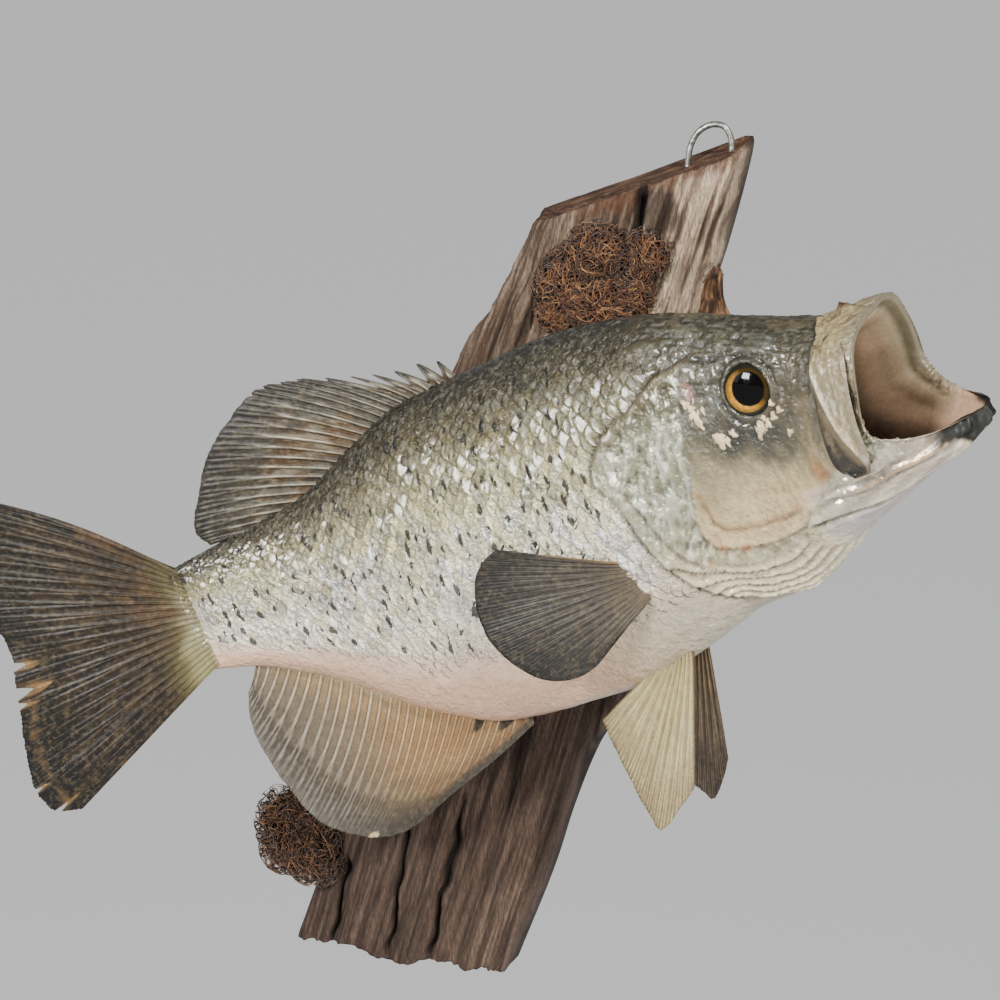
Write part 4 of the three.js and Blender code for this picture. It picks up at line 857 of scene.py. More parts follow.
    # the mouth's lining: long wrinkles that run back into the throat
    t = w - W_RIM
    inside = sstep(1, 9, t)
    lines = noise(uu * 30 + 1.2 * noise(uu * 5, t * 0.06, side, 63), t * 0.035, side, 65)
    fine = noise(uu * 74 + 1.0 * noise(uu * 9, t * 0.10, side, 67), t * 0.06, side, 69)
    d = d + inside * sstep(26, 9, t) * (-0.14 * np.abs(lines) ** 1.2 + 0.03 * fine)
    d = d + 0.5 * bell(t - 1.8, 1.2) - 0.7 * bell(t - 6.5, 1.6) * sstep(0.75, 0.6, uu) + 0.5 * bell(t - 10, 2.0) * sstep(0.7, 0.6, uu)
    # the belly's scales lie flush: a faint diamond net, and the stalk thins down onto the tail fin
    net = np.maximum(bell((X / 5.4 + Y / 5.4) % 1 - 0.5, 0.10), bell((X / 5.4 - Y / 5.4) % 1 - 0.5, 0.10))
    d = d - 0.13 * net * sstep(0.62, 0.72, uu) * sstep(222, 210, w)
    return d + thinning(w, u)


def thinning(w, u):
    """millimetres taken off the flanks at the tail's root, down to the thickness of the fin"""
    sp = surface(w, u)
    return -np.maximum(np.abs(sp[..., 1]) - 2.1, 0) * sstep(13, 1, w)


COAT = 0.6          # depth that scales and varnish need above the skin


def throat_folds(w, u):
    """the few broad folds that run back along the mouth's lining, -1 to 1"""
    uu = np.where(u <= 1, u, 2 - u)
    side = np.where(u <= 1, 0.0, 17.3)
    t = w - W_RIM
    return noise(uu * 6.4 + 0.5 * noise(uu * 2.5, t * 0.05, side, 93), t * 0.022, side, 91)


def blurred(a, times):
    """a grid of values, closed along its second axis, smoothed"""
    for _ in range(times):
        a = (np.roll(a, 1, 1) + 2 * a + np.roll(a, -1, 1)) / 4
        a = np.concatenate([a[:1], (a[:-2] + 2 * a[1:-1] + a[2:]) / 4, a[-1:]])
    return a


def make_skin():
    rows = np.concatenate([np.arange(0, 190, 2.4), np.arange(190, 250, 0.80), np.arange(250, 309, 0.62), np.arange(309, 318, 0.45),
                           np.arange(318, 334, 0.8), np.arange(334, 368.01, 1.5)])
    nu = 316
    u = np.arange(nu) * 2.0 / nu
    W, U = np.meshgrid(rows, u, indexing="ij")
    base = place(surface(W, U))
    du = np.roll(base, -1, 1) - np.roll(base, 1, 1)
    dw = np.gradient(base, axis=0)
    n = unit(np.cross(du, dw))
    lining = sstep(W_RIM + 2, W_RIM + 9, W)      # the mouth's lining is smooth and even
    rel = relief(W, U)
    rel = mix(rel, blurred(rel, 14), lining) + lining * 1.1 * sstep(-0.1, 0.6, throat_folds(W, U)) * sstep(36, 20, W - W_RIM)
    n = mix(n, blurred(n, 14), lining[..., None])
    co = base + n * (rel - COAT)[..., None]
    # small lump on the tip of the snout
    col, rough, metal = markings_and_painted_light(W, U)
    col = mix(col, blurred(col, 10), lining[..., None])
    knob = bell(np.hypot(W - 297.5, np.where(U > 1, U - 1.975, U + 0.025) * GIRTH) - 0.0, 2.9)
    knob = np.where((U > 1.85) | (U < 0.05), knob, 0)
    co = co + n * (2.9 * knob * (1 + 0.3 * noise(W, U * GIRTH, 0, 3)))[..., None]
    col = tint(col, "#3b2213", 1.2 * knob)
    # painted shade in the creases and painted highlight on the raised edges of the skin's relief
    soft = (np.roll(rel, 2, 0) + np.roll(rel, -2, 0) + np.roll(rel, 3, 1) + np.roll(rel, -3, 1)) / 4
    painted_relief_light = np.clip(rel - soft, -0.8, 0.5)
    uu_ = np.where(U <= 1, U, 2 - U)
    painted_relief_light = painted_relief_light * (1 - 0.75 * np.maximum(sstep(264, 272, W) * sstep(0.56, 0.60, uu_), sstep(W_RIM, W_RIM + 4, W)))
    shade = np.where(W > 205, 1 + np.where(painted_relief_light < 0, 0.85 * painted_relief_light, 0.35 * painted_relief_light), 1)
    col = np.clip(col * shade[..., None], 0.001, 1)
    ni = len(rows)
    quads = grid_quads(ni, nu, closed_j=True)
    first, last = P(300.2, 0, 4.0), P(50, 0, -3)
    pts = np.concatenate([co.reshape(-1, 3), first[None], last[None]])
    j = np.arange(nu)
    a = ni * nu
    tris = np.concatenate([np.stack([np.full(nu, a), j, (j + 1) % nu], -1),
                           np.stack([np.full(nu, a + 1), (ni - 1) * nu + (j + 1) % nu, (ni - 1) * nu + j], -1)])
    p = pts[quads]
    vol = np.einsum("ij,ij->i", p[:, 0], np.cross(p[:, 1], p[:, 2])).sum()
    if vol < 0:
        quads, tris = quads[:, ::-1], tris[:, ::-1]
    # colours of the two end points: the tail's end, and the throat's end in painted shade
    col = np.concatenate([col.reshape(-1, 3), lin("#5a5038")[None], lin("#140906")[None]])
    surf = np.stack([rough, metal, np.maximum(0.96 * sstep(W_RIM - 1, W_RIM + 4, W), np.maximum(0.95 * sstep(300, 304, W) * sstep(0.74, 0.78, uu_), 0.70 * sstep(262, 272, W) * sstep(0.56, 0.61, uu_)))], -1).reshape(-1, 3)
    surf = np.concatenate([surf, [[0.5, 0, 0], [0.6, 0, 0.8]]])
    ob = build("skin", pts, quads, tris, col, surf)
    return ob, pts, quads, tris


# ============================================================ scales
def make_scales():
    """overlapping scales in rows along the flanks; returns a list of pieces"""
    n_rows = 50
    along = []
    s = 71.0
    k = 0
    while s < 297.5:
        along.append((s, k % 2))
        size = float(np.interp(s, [70, 110, 200, 262, 298], [4.9, 5.5, 5.4, 4.8, 4.0]))
        s += size / 2
        k += 1
    w0, u0 = [], []
    for s, odd in along:
        rows = n_rows if s < 246 else 38
        for r in range(rows):
            w0.append(300 - s)
            u0.append(((r + 0.5 * odd + 0.25) / rows * 2) % 2)
    w0, u0 = np.array(w0), np.array(u0)
    idx = np.arange(len(w0))
    r1, r2, r3, r4, r5 = [hashed(idx, idx * 0 + q, idx * 0, 77) for q in range(5)]
    w0 = w0 + (r1 - 0.5) * 1.3
    u0 = np.mod(u0 + (r2 - 0.5) * 1.2 / GIRTH, 2)
    uu = np.where(u0 <= 1, u0, 2 - u0)
    # only behind the gill cover and the nape
    o_d, o_a = to_line(OPERC, w0, u0)
    o = o_d * OPERC_SIDE
    keep = (uu < 0.695 + 0.02 * noise(w0 * 0.06, w0 * 0)) & np.where(uu < 0.235, w0 < 226 + 5 * noise(uu * 20, w0 * 0), o < -1.2) & (w0 < 228)
    w0, u0, uu, r1, r2, r3, r4, r5 = [q[keep] for q in (w0, u0, uu, r1, r2, r3, r4, r5)]
    s0 = 300 - w0
    p, n, ahead, per_u = surface_frame(w0, u0)
    girth = np.linalg.norm(per_u, axis=-1)               # mm for one whole unit of u
    rows_here = np.where(s0 < 246, n_rows, 38)
    width = girth * 2 / rows_here                          # row spacing in mm
    length = np.interp(s0, [70, 110, 200, 262, 298], [4.9, 5.5, 5.4, 4.8, 4.0])
    m = 7
    A = np.linspace(0, 1, m)[:, None] * np.ones((1, m))
    B = np.ones((m, 1)) * np.linspace(-1, 1, m)[None, :]
    a_rear = 0.64 - 0.56 * np.abs(B) ** 2.1               # the rounded rear edge
    a_local = -0.52 + (a_rear + 0.52) * np.minimum(A / (1 - 1.0 / (m - 1)), 1.0)
    skirt = (A > 1 - 0.5 / (m - 1)).astype(float)
    b_local = 0.57 * B
    lie = 1 - 0.97 * sstep(0.60, 0.71, uu + 0.03 * noise(w0 * 0.05, uu * 8)) - 0.55 * sstep(0.26, 0.15, uu)
    lie = lie * (1 - 0.55 * sstep(112, 80, s0) * sstep(0.40, 0.25, uu))
    lie = np.clip(lie, 0.03, 1) * (0.60 + 0.8 * r4) * (1 - 0.30 * sstep(262, 290, s0))
    stand = 0.62 * lie
    curl = (r5 > 0.86) * 0.35 * lie
    aw = w0[:, None, None] - a_local[None] * length[:, None, None]
    du = b_local[None] * (width / girth)[:, None, None]
    au = u0[:, None, None] + du
    lift = np.clip((a_local - -0.52) / 1.1, 0, 1) ** 1.2
    h = -0.26 + lift[None] * (0.13 + 0.16 * np.minimum(lie, 1) + stand)[:, None, None] - 0.20 * (B[None] ** 2) * (0.1 + 0.3 * lie + stand)[:, None, None]
    h = h + curl[:, None, None] * sstep(0.5, 1, A)[None]
    lean = lie * ((r3 - 0.5) * 0.80)
    roll = lie * ((r5 - 0.5) * 0.70)
    h = h + lean[:, None, None] * (A[None] - 0.55) + roll[:, None, None] * B[None]
    crinkle = 0.24 * lie[:, None, None] * noise(aw * 0.9, au * GIRTH * 0.9, np.where(u0 > 1, 9.3, 0.0)[:, None, None], 81) * (A > 0.1)[None]
    h = (h + crinkle) * (1 - skirt[None]) + (-0.30) * skirt[None] + thinning(np.clip(aw, 0, 400), np.mod(au, 2))
    base = place(surface(aw, np.mod(au, 2)))
    nn = n[:, None, None, :]
    co = base + nn * (h - COAT + 0.12)[..., None]
    # skirts drop straight down from the rear edge
    co[:, -1] = co[:, -2] + n[:, None, :] * (-0.10 - 0.55 * stand)[:, None, None] + ahead[:, None, :] * 0.12
    col, rough, metal = markings_and_painted_light(aw.reshape(-1), np.mod(au.reshape(-1), 2))
    col = col.reshape(-1, m, m, 3)
    rough, metal = rough.reshape(-1, m, m), metal.reshape(-1, m, m)
    bright = 1 + lie[:, None, None] * ((r3 - 0.5) * 0.50)[:, None, None]
    # painted highlight along the rear edge, painted shade over the front part where the scale lies under the one
    # before, and painted shade on the skirt under the free edge
    edge = sstep(0.62, 0.86, A)[None] * (1 - skirt[None])
    bright = bright * (1 + (0.30 * r1 + 0.05)[:, None, None] * edge * lie[:, None, None]) * (1 - 0.18 * (1 - sstep(0.12, 0.5, A))[None] * lie[:, None, None])
    bright = bright * (1 - 0.30 * skirt[None] * lie[:, None, None])
    # painted highlight on the rims of some scales and painted shade inside the rims of others
    rim = sstep(0.50, 0.80, A)[None] * (1 - skirt[None])
    bright = bright * (1 + 0.60 * rim * (lie * sstep(0.62, 0.80, r1))[:, None, None]) * (1 - 0.30 * (1 - rim) * (lie * sstep(0.70, 0.85, r5))[:, None, None])
    warm = np.where((r2 > 0.5)[:, None, None, None], np.array([1.02, 1.0, 0.93]), np.array([0.97, 0.99, 1.05]))
    col = np.clip(col * bright[..., None] * mix(1, warm, lie[:, None, None, None]), 0.001, 1)
    rough = np.clip(rough - 0.12 * (r4[:, None, None] > 0.5), 0.14, 0.9)
    field = dash_field(aw.reshape(-1), np.mod(au.reshape(-1), 2)).reshape(-1, m, m)
    uv = np.stack([w0 / 370.0, u0 / 2.0], -1)[:, None, None, :] + 0.003 * np.stack([A - 0.5, B / 2], -1)[None]
    uv = np.clip(uv, 0.0, 1.0)
    sides = []
    for name, which in (("scales_right", u0 <= 1), ("scales_left", u0 > 1)):
        k = int(which.sum())
        one = grid_quads(m, m)
        quads = (one[None] + (np.arange(k) * m * m)[:, None, None]).reshape(-1, 4)
        c = co[which].reshape(-1, 3)
        # face outwards
        q0 = c[one]
        nrm = np.cross(q0[:, 1] - q0[:, 0], q0[:, 3] - q0[:, 0]).sum(0)
        if nrm @ n[which][0] < 0:
            quads = quads[:, ::-1]
        ob = build(name, c, quads, None, col[which].reshape(-1, 3),
                   np.stack([rough, metal, metal * 0], -1)[which].reshape(-1, 3), uv=uv[which].reshape(-1, 2),
                   extra={"Dash": np.repeat(field[which].reshape(-1, 1), 3, 1)})
        sides.append(ob)
    return sides


# ============================================================ eyes, glass
def make_eye(name, node, side):
    fwd, left, up = frame_at(EYE["s"])
    out = unit(left * side + 0.16 * fwd + 0.2 * up)
    at = P(EYE["s"], side * EYE["y"], EYE["z"])
    e1 = unit(fwd - out * (fwd @ out))
    e2 = unit(up - out * (up @ out) - e1 * (up @ e1))
    nr, na = 44, 96
    k = np.linspace(0, 1, nr)
    ang = k * math.pi / 2
    r = np.concatenate([EYE["rim"] * np.sin(ang), [EYE["rim"], EYE["rim"] * 0.8]])
    h = np.concatenate([EYE["dome"] * np.cos(ang), [-EYE["depth"] * 0.5, -EYE["depth"]]])
    a = np.arange(na) * 2 * math.pi / na
    R, A = np.meshgrid(r, a, indexing="ij")
    H = np.repeat(h[:, None], na, 1)
    x, y = R * np.cos(A), R * np.sin(A)
    co = at + e1 * x[..., None] + e2 * y[..., None] + out * H[..., None]
    # rings: a large pupil a little forward and up, a narrow gold iris, a dark olive surround
    px, py = 0.80, 0.42
    rp = np.hypot(x - px, (y - py) / 1.05)
    th = np.arctan2(y - py, x - px)
    ro = np.hypot(x, y)
    fibre = fbm(np.cos(th) * 9, np.sin(th) * 9, rp * 0.8, 3, 5)
    pupil = sstep(5.80, 5.55, rp + 0.05 * fibre)
    out_ring = sstep(7.35, 7.8, ro + 0.12 * fibre)
    # painted light: the gold iris is lit behind and below, as through the glass, and dark above and in front
    low = np.clip(0.28 + 0.85 * np.cos(th - rad(203)), 0.03, 1.10)          # the iris is brightest behind and below
    gold = lin("#b8842c") * (low * (1 + 0.35 * fibre) * (0.55 + 0.6 * bell(rp - 6.2, 0.9)))[..., None] + lin("#241a08") * (1 - np.clip(low, 0, 1))[..., None]
    col = gold * (1 - out_ring[..., None]) + (lin("#1b1d13") * (1 + 0.3 * fibre)[..., None]) * out_ring[..., None]
    col = tint(col, "#0c0c09", sstep(8.5, 9.1, ro))
    col = tint(col, "#010101", pupil)
    col = np.clip(col, 0.0003, 1)
    quads = grid_quads(len(r), na, closed_j=True)
    first = 0
    pts = co.reshape(-1, 3)
    centre_back = at - out * EYE["depth"]
    pts = np.concatenate([pts, centre_back[None]])
    j = np.arange(na)
    b = (len(r) - 1) * na
    tris = np.stack([np.full(na, len(pts) - 1), b + (j + 1) % na, b + j], -1)
    # the first ring is the pole: merge it
    q = quads.copy()
    q[q < na] = 0
    tri0 = np.stack([np.zeros(na, int), na + j, na + (j + 1) % na], -1)
    quads = quads[na:]
    keep = np.concatenate([[0], np.arange(na, len(pts))])
    remap = np.full(len(pts), -1)
    remap[keep] = np.arange(len(keep))
    pts2 = pts[keep]
    quads, tris, tri0 = remap[quads], remap[tris], remap[tri0]
    nrm = np.cross(pts2[quads[na, 1]] - pts2[quads[na, 0]], pts2[quads[na, 3]] - pts2[quads[na, 0]])
    if nrm @ out < 0:
        quads, tris, tri0 = quads[:, ::-1], tris[:, ::-1], tri0
    else:
        tri0 = tri0[:, ::-1]
    t0 = np.cross(pts2[tri0[0, 1]] - pts2[tri0[0, 0]], pts2[tri0[0, 2]] - pts2[tri0[0, 0]])
    if t0 @ out < 0:
        tri0 = tri0[:, ::-1]
    tb = np.cross(pts2[tris[0, 1]] - pts2[tris[0, 0]], pts2[tris[0, 2]] - pts2[tris[0, 0]])
    if tb @ out > 0:
        tris = tris[:, ::-1]
    col = np.concatenate([col.reshape(-1, 3), [[0.01, 0.01, 0.01]]])[keep]
    surf = np.tile([0.12, 0, 0], (len(pts2), 1))
    ob = build(name, pts2, quads, np.concatenate([tri0, tris]), col, surf)
    return wear(ob, node, slot="eye", mat=eye_mat)


# ============================================================ upper jaw bones
MAXILLA_FRONT = [[-8.8, 33], [-9.8, 30], [-9.4, 25], [-7.8, 17], [-6.6, 10], [-5.8, 3], [-4.8, -4], [-2.2, -9.6]]
MAXILLA_REAR = [[4.4, 33.5], [5.2, 30], [6, 25.4], [7.6, 16.9], [9.4, 8], [10.9, -1.5], [10.2, -6.8], [5, -10.9]]
maxilla_out = Curve([-12, -4, 3, 17, 25, 30, 33], [27.6, 28.6, 28.6, 26.4, 24, 21.2, 18.4])


def make_maxilla(name, node, side):
    ni, nj = 150, 56
    V, T = np.meshgrid(np.linspace(0, 1, ni), np.linspace(0, 1, nj), indexing="ij")
    a, b = through(MAXILLA_FRONT, V), through(MAXILLA_REAR, V)
    # round the lower end off
    s, z = mix(a[..., 0], b[..., 0], T), mix(a[..., 1], b[..., 1], T)
    crown = 0.9 * np.sin(math.pi * T) * np.sin(math.pi * mix(0.12, 0.88, V))
    outer = maxilla_out(z) - 0.1 * (s - a[..., 0]) + crown
    # the ridge runs from the upper rear to the lower front, with a hollow channel behind it
    ridge_at = mix(0.98, 0.10, sstep(0.16, 0.98, V) ** 0.9)
    x = (T - ridge_at) * 15
    seed = 3 if side < 0 else 11
    d = 0.85 * bell(x, 1.0) - 0.95 * sstep(0.6, 3.2, x) * sstep(0, 0.2, V) + 0.9 * bell((1 - T) * 15, 1.0) * sstep(0.12, 0.3, V)
    d = d + 0.35 * bell(T * 15 - 1.0, 0.9)
    lines = noise(T * 15 * 0.8 + 0.6 * noise(V * 6, T * 3, 0, seed), V * 5, 0, seed + 1)
    d = d + 0.22 * lines + 0.12 * fbm(V * 40, T * 14, 0, 3, seed + 2)
    edge = np.minimum(np.minimum(T, 1 - T) * 15, (1 - V) * 40)
    d = d - 0.5 * np.exp(-edge / 0.5)
    d = d - 2.4 * sstep(0.20, 0.0, V) - 1.2 * sstep(0.35, 0.0, V) * sstep(0.5, 1.0, T)     # the top sinks into the snout
    thick = mix(1.0, 2.2, np.sin(math.pi * np.clip(V, 0.06, 0.94))) * sstep(-0.4, 1.4, edge)
    front = P(s, side * (outer + d - 0.35), z)
    back = P(s, side * (outer - thick + 0.2 * d - 0.35), z)
    ch = sstep(0.4, 2.2, x) * sstep(0.12, 0.28, V)
    n = fbm(V * 30, T * 11, 0, 4, seed + 5)
    col = ramp(V + 0.03 * n, [(0, "#9a8a64"), (0.12, "#978767"), (0.35, "#91866a"), (0.7, "#9a8c6c"), (0.9, "#807159"), (1, "#2f2922")])
    # painted highlight along the raised ridge
    col = tint(col, "#d8ccab", 0.75 * bell(x, 0.7) * sstep(0.1, 0.25, V) * sstep(1.0, 0.85, V))
    col = tint(col, "#cdc6b4", 0.5 * sstep(0.1, 0.5, n) * (x < 0))
    # painted shade in the hollow channel behind the ridge, deepest towards the lower end
    col = tint(col, "#77684f", 0.85 * ch)
    col = tint(col, "#241e18", 0.95 * ch * sstep(0.45, 0.75, V + 0.10 * n) * sstep(0.2, 3.5, x - 2))
    col = tint(col, "#1f1b17", 0.9 * bell((1 - T) * 15, 1.3) * sstep(0.25, 0.4, V))
    col = tint(col, "#1c1916", 0.95 * sstep(0.87, 0.94, V + 0.02 * n + 0.02 * T))
    col = tint(col, "#6d5f49", 0.5 * bell(T * 15 - 2.4, 1.0))
    col = tint(col, "#7b7364", 0.6 * sstep(2.0, 0.6, T * 15))
    surf = np.stack([np.clip(0.32 + 0.08 * n, 0.2, 0.6), 0.12 + 0 * n, 0 * n], -1)
    co, quads = sheet_mesh(front, back)
    quads = face_out(co, quads)
    inner = tint(col * 0.7, "#5c4a36", 0.7 + 0 * n)
    ob = build(name, co, quads, None, np.concatenate([col.reshape(-1, 3), inner.reshape(-1, 3)]), np.concatenate([surf.reshape(-1, 3)] * 2))
    return wear(ob, node, slot="jaw_bone", mat=bone_mat)


# ============================================================ fins
def ray_pattern(a, b, n, split1=0.30, split2=0.62, width=0.20, fan=1.0):
    """height 0-1 of branching rays; a across the fin, b from root to margin"""
    x = a * n - 0.5
    k = np.round(x)
    x = x - k
    d1 = 0.25 * sstep(split1, 1.0, b) * fan
    d2 = 0.115 * sstep(split2, 1.05, b) * fan
    y = np.abs(np.abs(x) - d1)
    y = np.abs(y - d2)
    wd = width * mix(1.0, 0.42, sstep(0.05, 0.95, b))
    return np.exp(-(y / wd) ** 2), k


def make_fin(name, node, slot, root, margin, place_fn, rays, nb=64, per=9, thick_root=3.0, ray_height=(0.75, 0.20), web=0.17, bow=0.0,
             notch=None, crowd=1.0, skew=None, colour=None, rag=0.02, wave=0.5, seed=1, split=(0.30, 0.62), width=0.20, cross=0.0, kinks=0.0, tears=None, lap=0.0):
    na = rays * per + 1
    A, B = np.meshgrid(np.linspace(0, 1, na), np.linspace(0, 1, nb) ** crowd, indexing="ij")
    M = A if skew is None else np.interp(A, np.linspace(0, 1, len(skew)), np.array(skew) / (len(margin) - 1))
    r, m = through(root, A), through(margin, M)
    rib, k = ray_pattern(A, B, rays, split[0], split[1], width)
    nz = noise(A * rays * 1.3, A * 0, 0, seed)
    nz2 = noise(A * rays * 5.1, A * 0, 0, seed + 1)
    cutback = rag * (0.5 + 0.5 * nz) + 0.35 * rag * (1 - rib[:, -1:]) + rag * 0.5 * np.maximum(nz2, 0)
    if notch is not None:
        cutback = cutback + notch(A, B, rib)
    if tears is not None:
        for a0, wa, deep in tears:
            cutback = cutback + deep * np.clip(1 - np.abs((A + 0.008 * noise(B * 14, A * 0, 0, seed + 9) - a0) / wa), 0, 1) ** 0.7
    reach = B * (1 - np.clip(cutback, 0, 0.9))
    p = mix(r[..., 0], m[..., 0], reach) + bow * (m[..., 1] - r[..., 1]) * reach * (1 - reach)
    q = mix(r[..., 1], m[..., 1], reach) - bow * (m[..., 0] - r[..., 0]) * reach * (1 - reach)
    h = mix(ray_height[0], ray_height[1], sstep(0, 0.95, reach))
    t = web + h * rib + (thick_root / 2) * np.clip(1 - reach / 0.16, 0, 1) ** 2
    if lap:                                                          # small scales run out over the root
        row = np.floor(reach * 70)
        cell = (A * 17 + 0.5 * np.mod(row, 2)) % 1 - 0.5
        t = t + lap * sstep(0.17, 0.05, reach + 0.02 * noise(A * 9, A * 0, 0, seed + 12)) * np.sqrt(np.clip(1 - (2 * cell) ** 2, 0, 1)) * (reach * 70 - row)
    seg = 1 + cross * np.sin(reach * 260 + 5 * noise(A * rays, A * 0, 0, seed + 3))      # the joints of the soft rays
    t = t * (1 + (seg - 1) * rib)
    t = t + 0.07 * fbm(A * rays * 2.2, B * 26, 0, 3, seed + 4)
    t = np.maximum(t, 0.10) * np.where(B > 0.97, 0.8, 1)
    bend = wave * (0.8 * noise(A * rays * 0.42, reach * 1.6, 0, seed + 6) * reach + 0.35 * noise(A * rays * 1.0, reach * 3.0, 0, seed + 7) * reach)
    bend = bend + kinks * (rib - 0.4) * reach
    pts = [place_fn(p, q, bend + sgn * t, A, B) for sgn in (1, -1)]
    co, quads = sheet_mesh(pts[0], pts[1])
    quads = face_out(co, quads)
    fine = fbm(A * rays * 3.0, B * 9, 0, 3, seed + 8)
    coarse = fbm(A * 6, B * 4, 0, 3, seed + 10)
    c, rg, mt = colour(A, B, reach, rib, fine, coarse, k)
    c = np.clip(c, 0.001, 1)
    surf = np.stack([np.clip(rg + 0 * A, 0.2, 0.9), np.clip(mt + 0 * A, 0, 0.6), 0 * A], -1).reshape(-1, 3)
    ob = build(name, co, quads, None, np.concatenate([c.reshape(-1, 3)] * 2), np.concatenate([surf] * 2))
    return wear(ob, node, slot=slot, mat=fin_mat)


def in_fish(lean):
    return lambda s, z, off, a, b: P(s, off + lean(a, b), z)


def dorsal_colour(A, B, reach, rib, fine, coarse, k):
    c = ramp(reach + 0.05 * coarse, [(0, "#2c2619"), (0.12, "#3a3426"), (0.45, "#3b3527"), (0.75, "#2a251c"), (0.92, "#191611"), (1, "#0f0d0a")])
    # painted highlight: a silver sheen on the rays and web across the middle of the fin; the same mask sets the metal
    painted_sheen_and_metal = bell(reach - 0.42, 0.30) * (0.55 + 0.6 * sstep(-0.3, 0.4, coarse))
    c = tint(c, "#d8d1bb", 0.95 * painted_sheen_and_metal * rib * (0.65 + 0.5 * fine))
    c = tint(c, "#6b4a28", 0.6 * sstep(0.0, 0.4, coarse) * bell(reach - 0.35, 0.28) * (1 - 0.5 * rib))
    c = tint(c, "#8b8876", 0.5 * sstep(0.0, 0.5, fine) * painted_sheen_and_metal * (1 - rib))
    # painted shadow beside each ray, which also darkens the web
    c = tint(c, "#100d09", 0.75 * bell(rib - 0.12, 0.12) * sstep(0.02, 0.15, reach))
    return c * 0.80, 0.44 - 0.06 * fine, 0.35 * painted_sheen_and_metal


def anal_colour(A, B, reach, rib, fine, coarse, k):
    back = sstep(0.35, 0.75, A)
    c = ramp(reach + 0.06 * coarse, [(0, "#c0a982"), (0.25, "#a98c63"), (0.5, "#8a7250"), (0.72, "#5b4f3d"), (0.88, "#3f3931"), (1, "#2a2620")])
    c = tint(c, "#6f675b", 0.75 * back * sstep(0.12, 0.4, reach))
    c = tint(c, "#93602f", 0.55 * (1 - back) * bell(reach - 0.45, 0.25) * sstep(-0.2, 0.4, coarse))
    c = tint(c, "#ab8152", 0.6 * (1 - back) * sstep(0.8, 0.2, reach))
    c = tint(c, "#3d3a34", 0.75 * sstep(0.66, 0.95, reach + 0.05 * coarse + 0.12 * back))
    c = tint(c, "#d8c6a2", 0.46 * (0.55 + 0.6 * sstep(-0.4, 0.5, noise(k * 1.7, k * 0, 0, 9))) * rib * sstep(0.85, 0.35, reach) * (0.75 + 0.4 * fine))
    c = tint(c, "#b9b4a6", 0.38 * rib * back * (0.7 + 0.4 * fine))
    # painted shadow beside each ray, which also darkens the web
    c = tint(c, "#2e2318", 0.80 * bell(rib - 0.10, 0.13) * sstep(0.03, 0.15, reach) * sstep(1.0, 0.8, reach))
    for a0, b0, r0 in ((0.075, 0.34, 0.030), (0.20, 0.17, 0.022)):
        c = tint(c, "#17130f", 0.95 * sstep(1.3, 0.8, np.hypot((A - a0) / r0, (reach - b0) / 0.10)))
    c = tint(c, "#c9b48c", 0.8 * sstep(1.3, 0.8, np.hypot((A - 0.46) / 0.02, (reach - 0.98) / 0.03)))
    return c, 0.42 - 0.05 * fine, 0.20 * rib


def caudal_colour(A, B, reach, rib, fine, coarse, k):
    c = ramp(reach + 0.07 * coarse, [(0, "#665c38"), (0.10, "#3d361f"), (0.25, "#20190f"), (0.5, "#150f0a"), (0.78, "#0e0a07"), (0.93, "#0f0c09"), (1, "#0a0807")])
    base = sstep(0.17, 0.04, reach + 0.03 * coarse + 0.02 * fine)
    c = tint(c, "#9b9778", 0.85 * base * sstep(0.15, 0.5, A))
    c = tint(c, "#3a3422", 0.80 * base * sstep(0.3, 0.1, A))
    c = tint(c, "#4a3520", 0.38 * rib * sstep(0.95, 0.55, reach) * (0.50 + 0.7 * fine) * (0.7 + 0.4 * coarse))
    c = tint(c, "#7c7449", 0.6 * sstep(0.30, 0.04, reach) * sstep(0.35, 0.9, A))
    # painted shadow beside each ray, which also darkens the web
    c = tint(c, "#0c0907", 0.6 * bell(rib - 0.10, 0.14) * sstep(0.1, 0.4, reach))
    c = tint(c, "#4a3420", 0.5 * sstep(0.1, 0.5, coarse) * sstep(0.85, 0.4, reach) * sstep(0.75, 0.4, A))
    c = tint(c, "#4c3d26", 0.25 * sstep(0.0, 0.5, fine) * bell(reach - 0.5, 0.3))
    torn = np.zeros_like(A)
    for a0, wa, deep in TAIL_TEARS:
        torn = np.maximum(torn, bell((A - a0) / (wa * 1.0), 1.0) * sstep(1 - 1.3 * deep - 0.02, 1 - deep, B))
    c = tint(c, "#86683f", 0.8 * torn * (0.6 + 0.5 * fine))
    c = tint(c, "#5f492c", 0.6 * bell(reach - 0.90 - 0.03 * coarse, 0.012) * sstep(0.52, 0.60, A) * sstep(0.97, 0.9, A) * (0.5 + 0.6 * fine))
    return c, 0.42 - 0.05 * fine, 0.06 * rib


def pectoral_colour(A, B, reach, rib, fine, coarse, k):
    c = ramp(reach + 0.05 * coarse, [(0, "#8b7756"), (0.10, "#625646"), (0.3, "#403a32"), (0.6, "#302c27"), (0.9, "#252220"), (1, "#191714")])
    c = tint(c, "#6e675c", 0.30 * rib * sstep(0.95, 0.5, reach) * (0.6 + 0.6 * fine))
    c = tint(c, "#8f8570", 0.38 * sstep(0.45, 0.95, A) * sstep(0.75, 0.2, reach) * (0.4 + 0.6 * rib))
    c = tint(c, "#1e1b18", 0.45 * (1 - rib) * (0.6 + 0.5 * fine))
    c = tint(c, "#8f7136", 0.7 * sstep(0.018, 0.0, A) * sstep(0.75, 0.6, reach))
    c = tint(c, "#b58b45", 0.5 * sstep(0.05, 0.01, A) * sstep(0.4, 0.05, reach))
    return c * 0.78, 0.54 - 0.05 * fine, 0.04


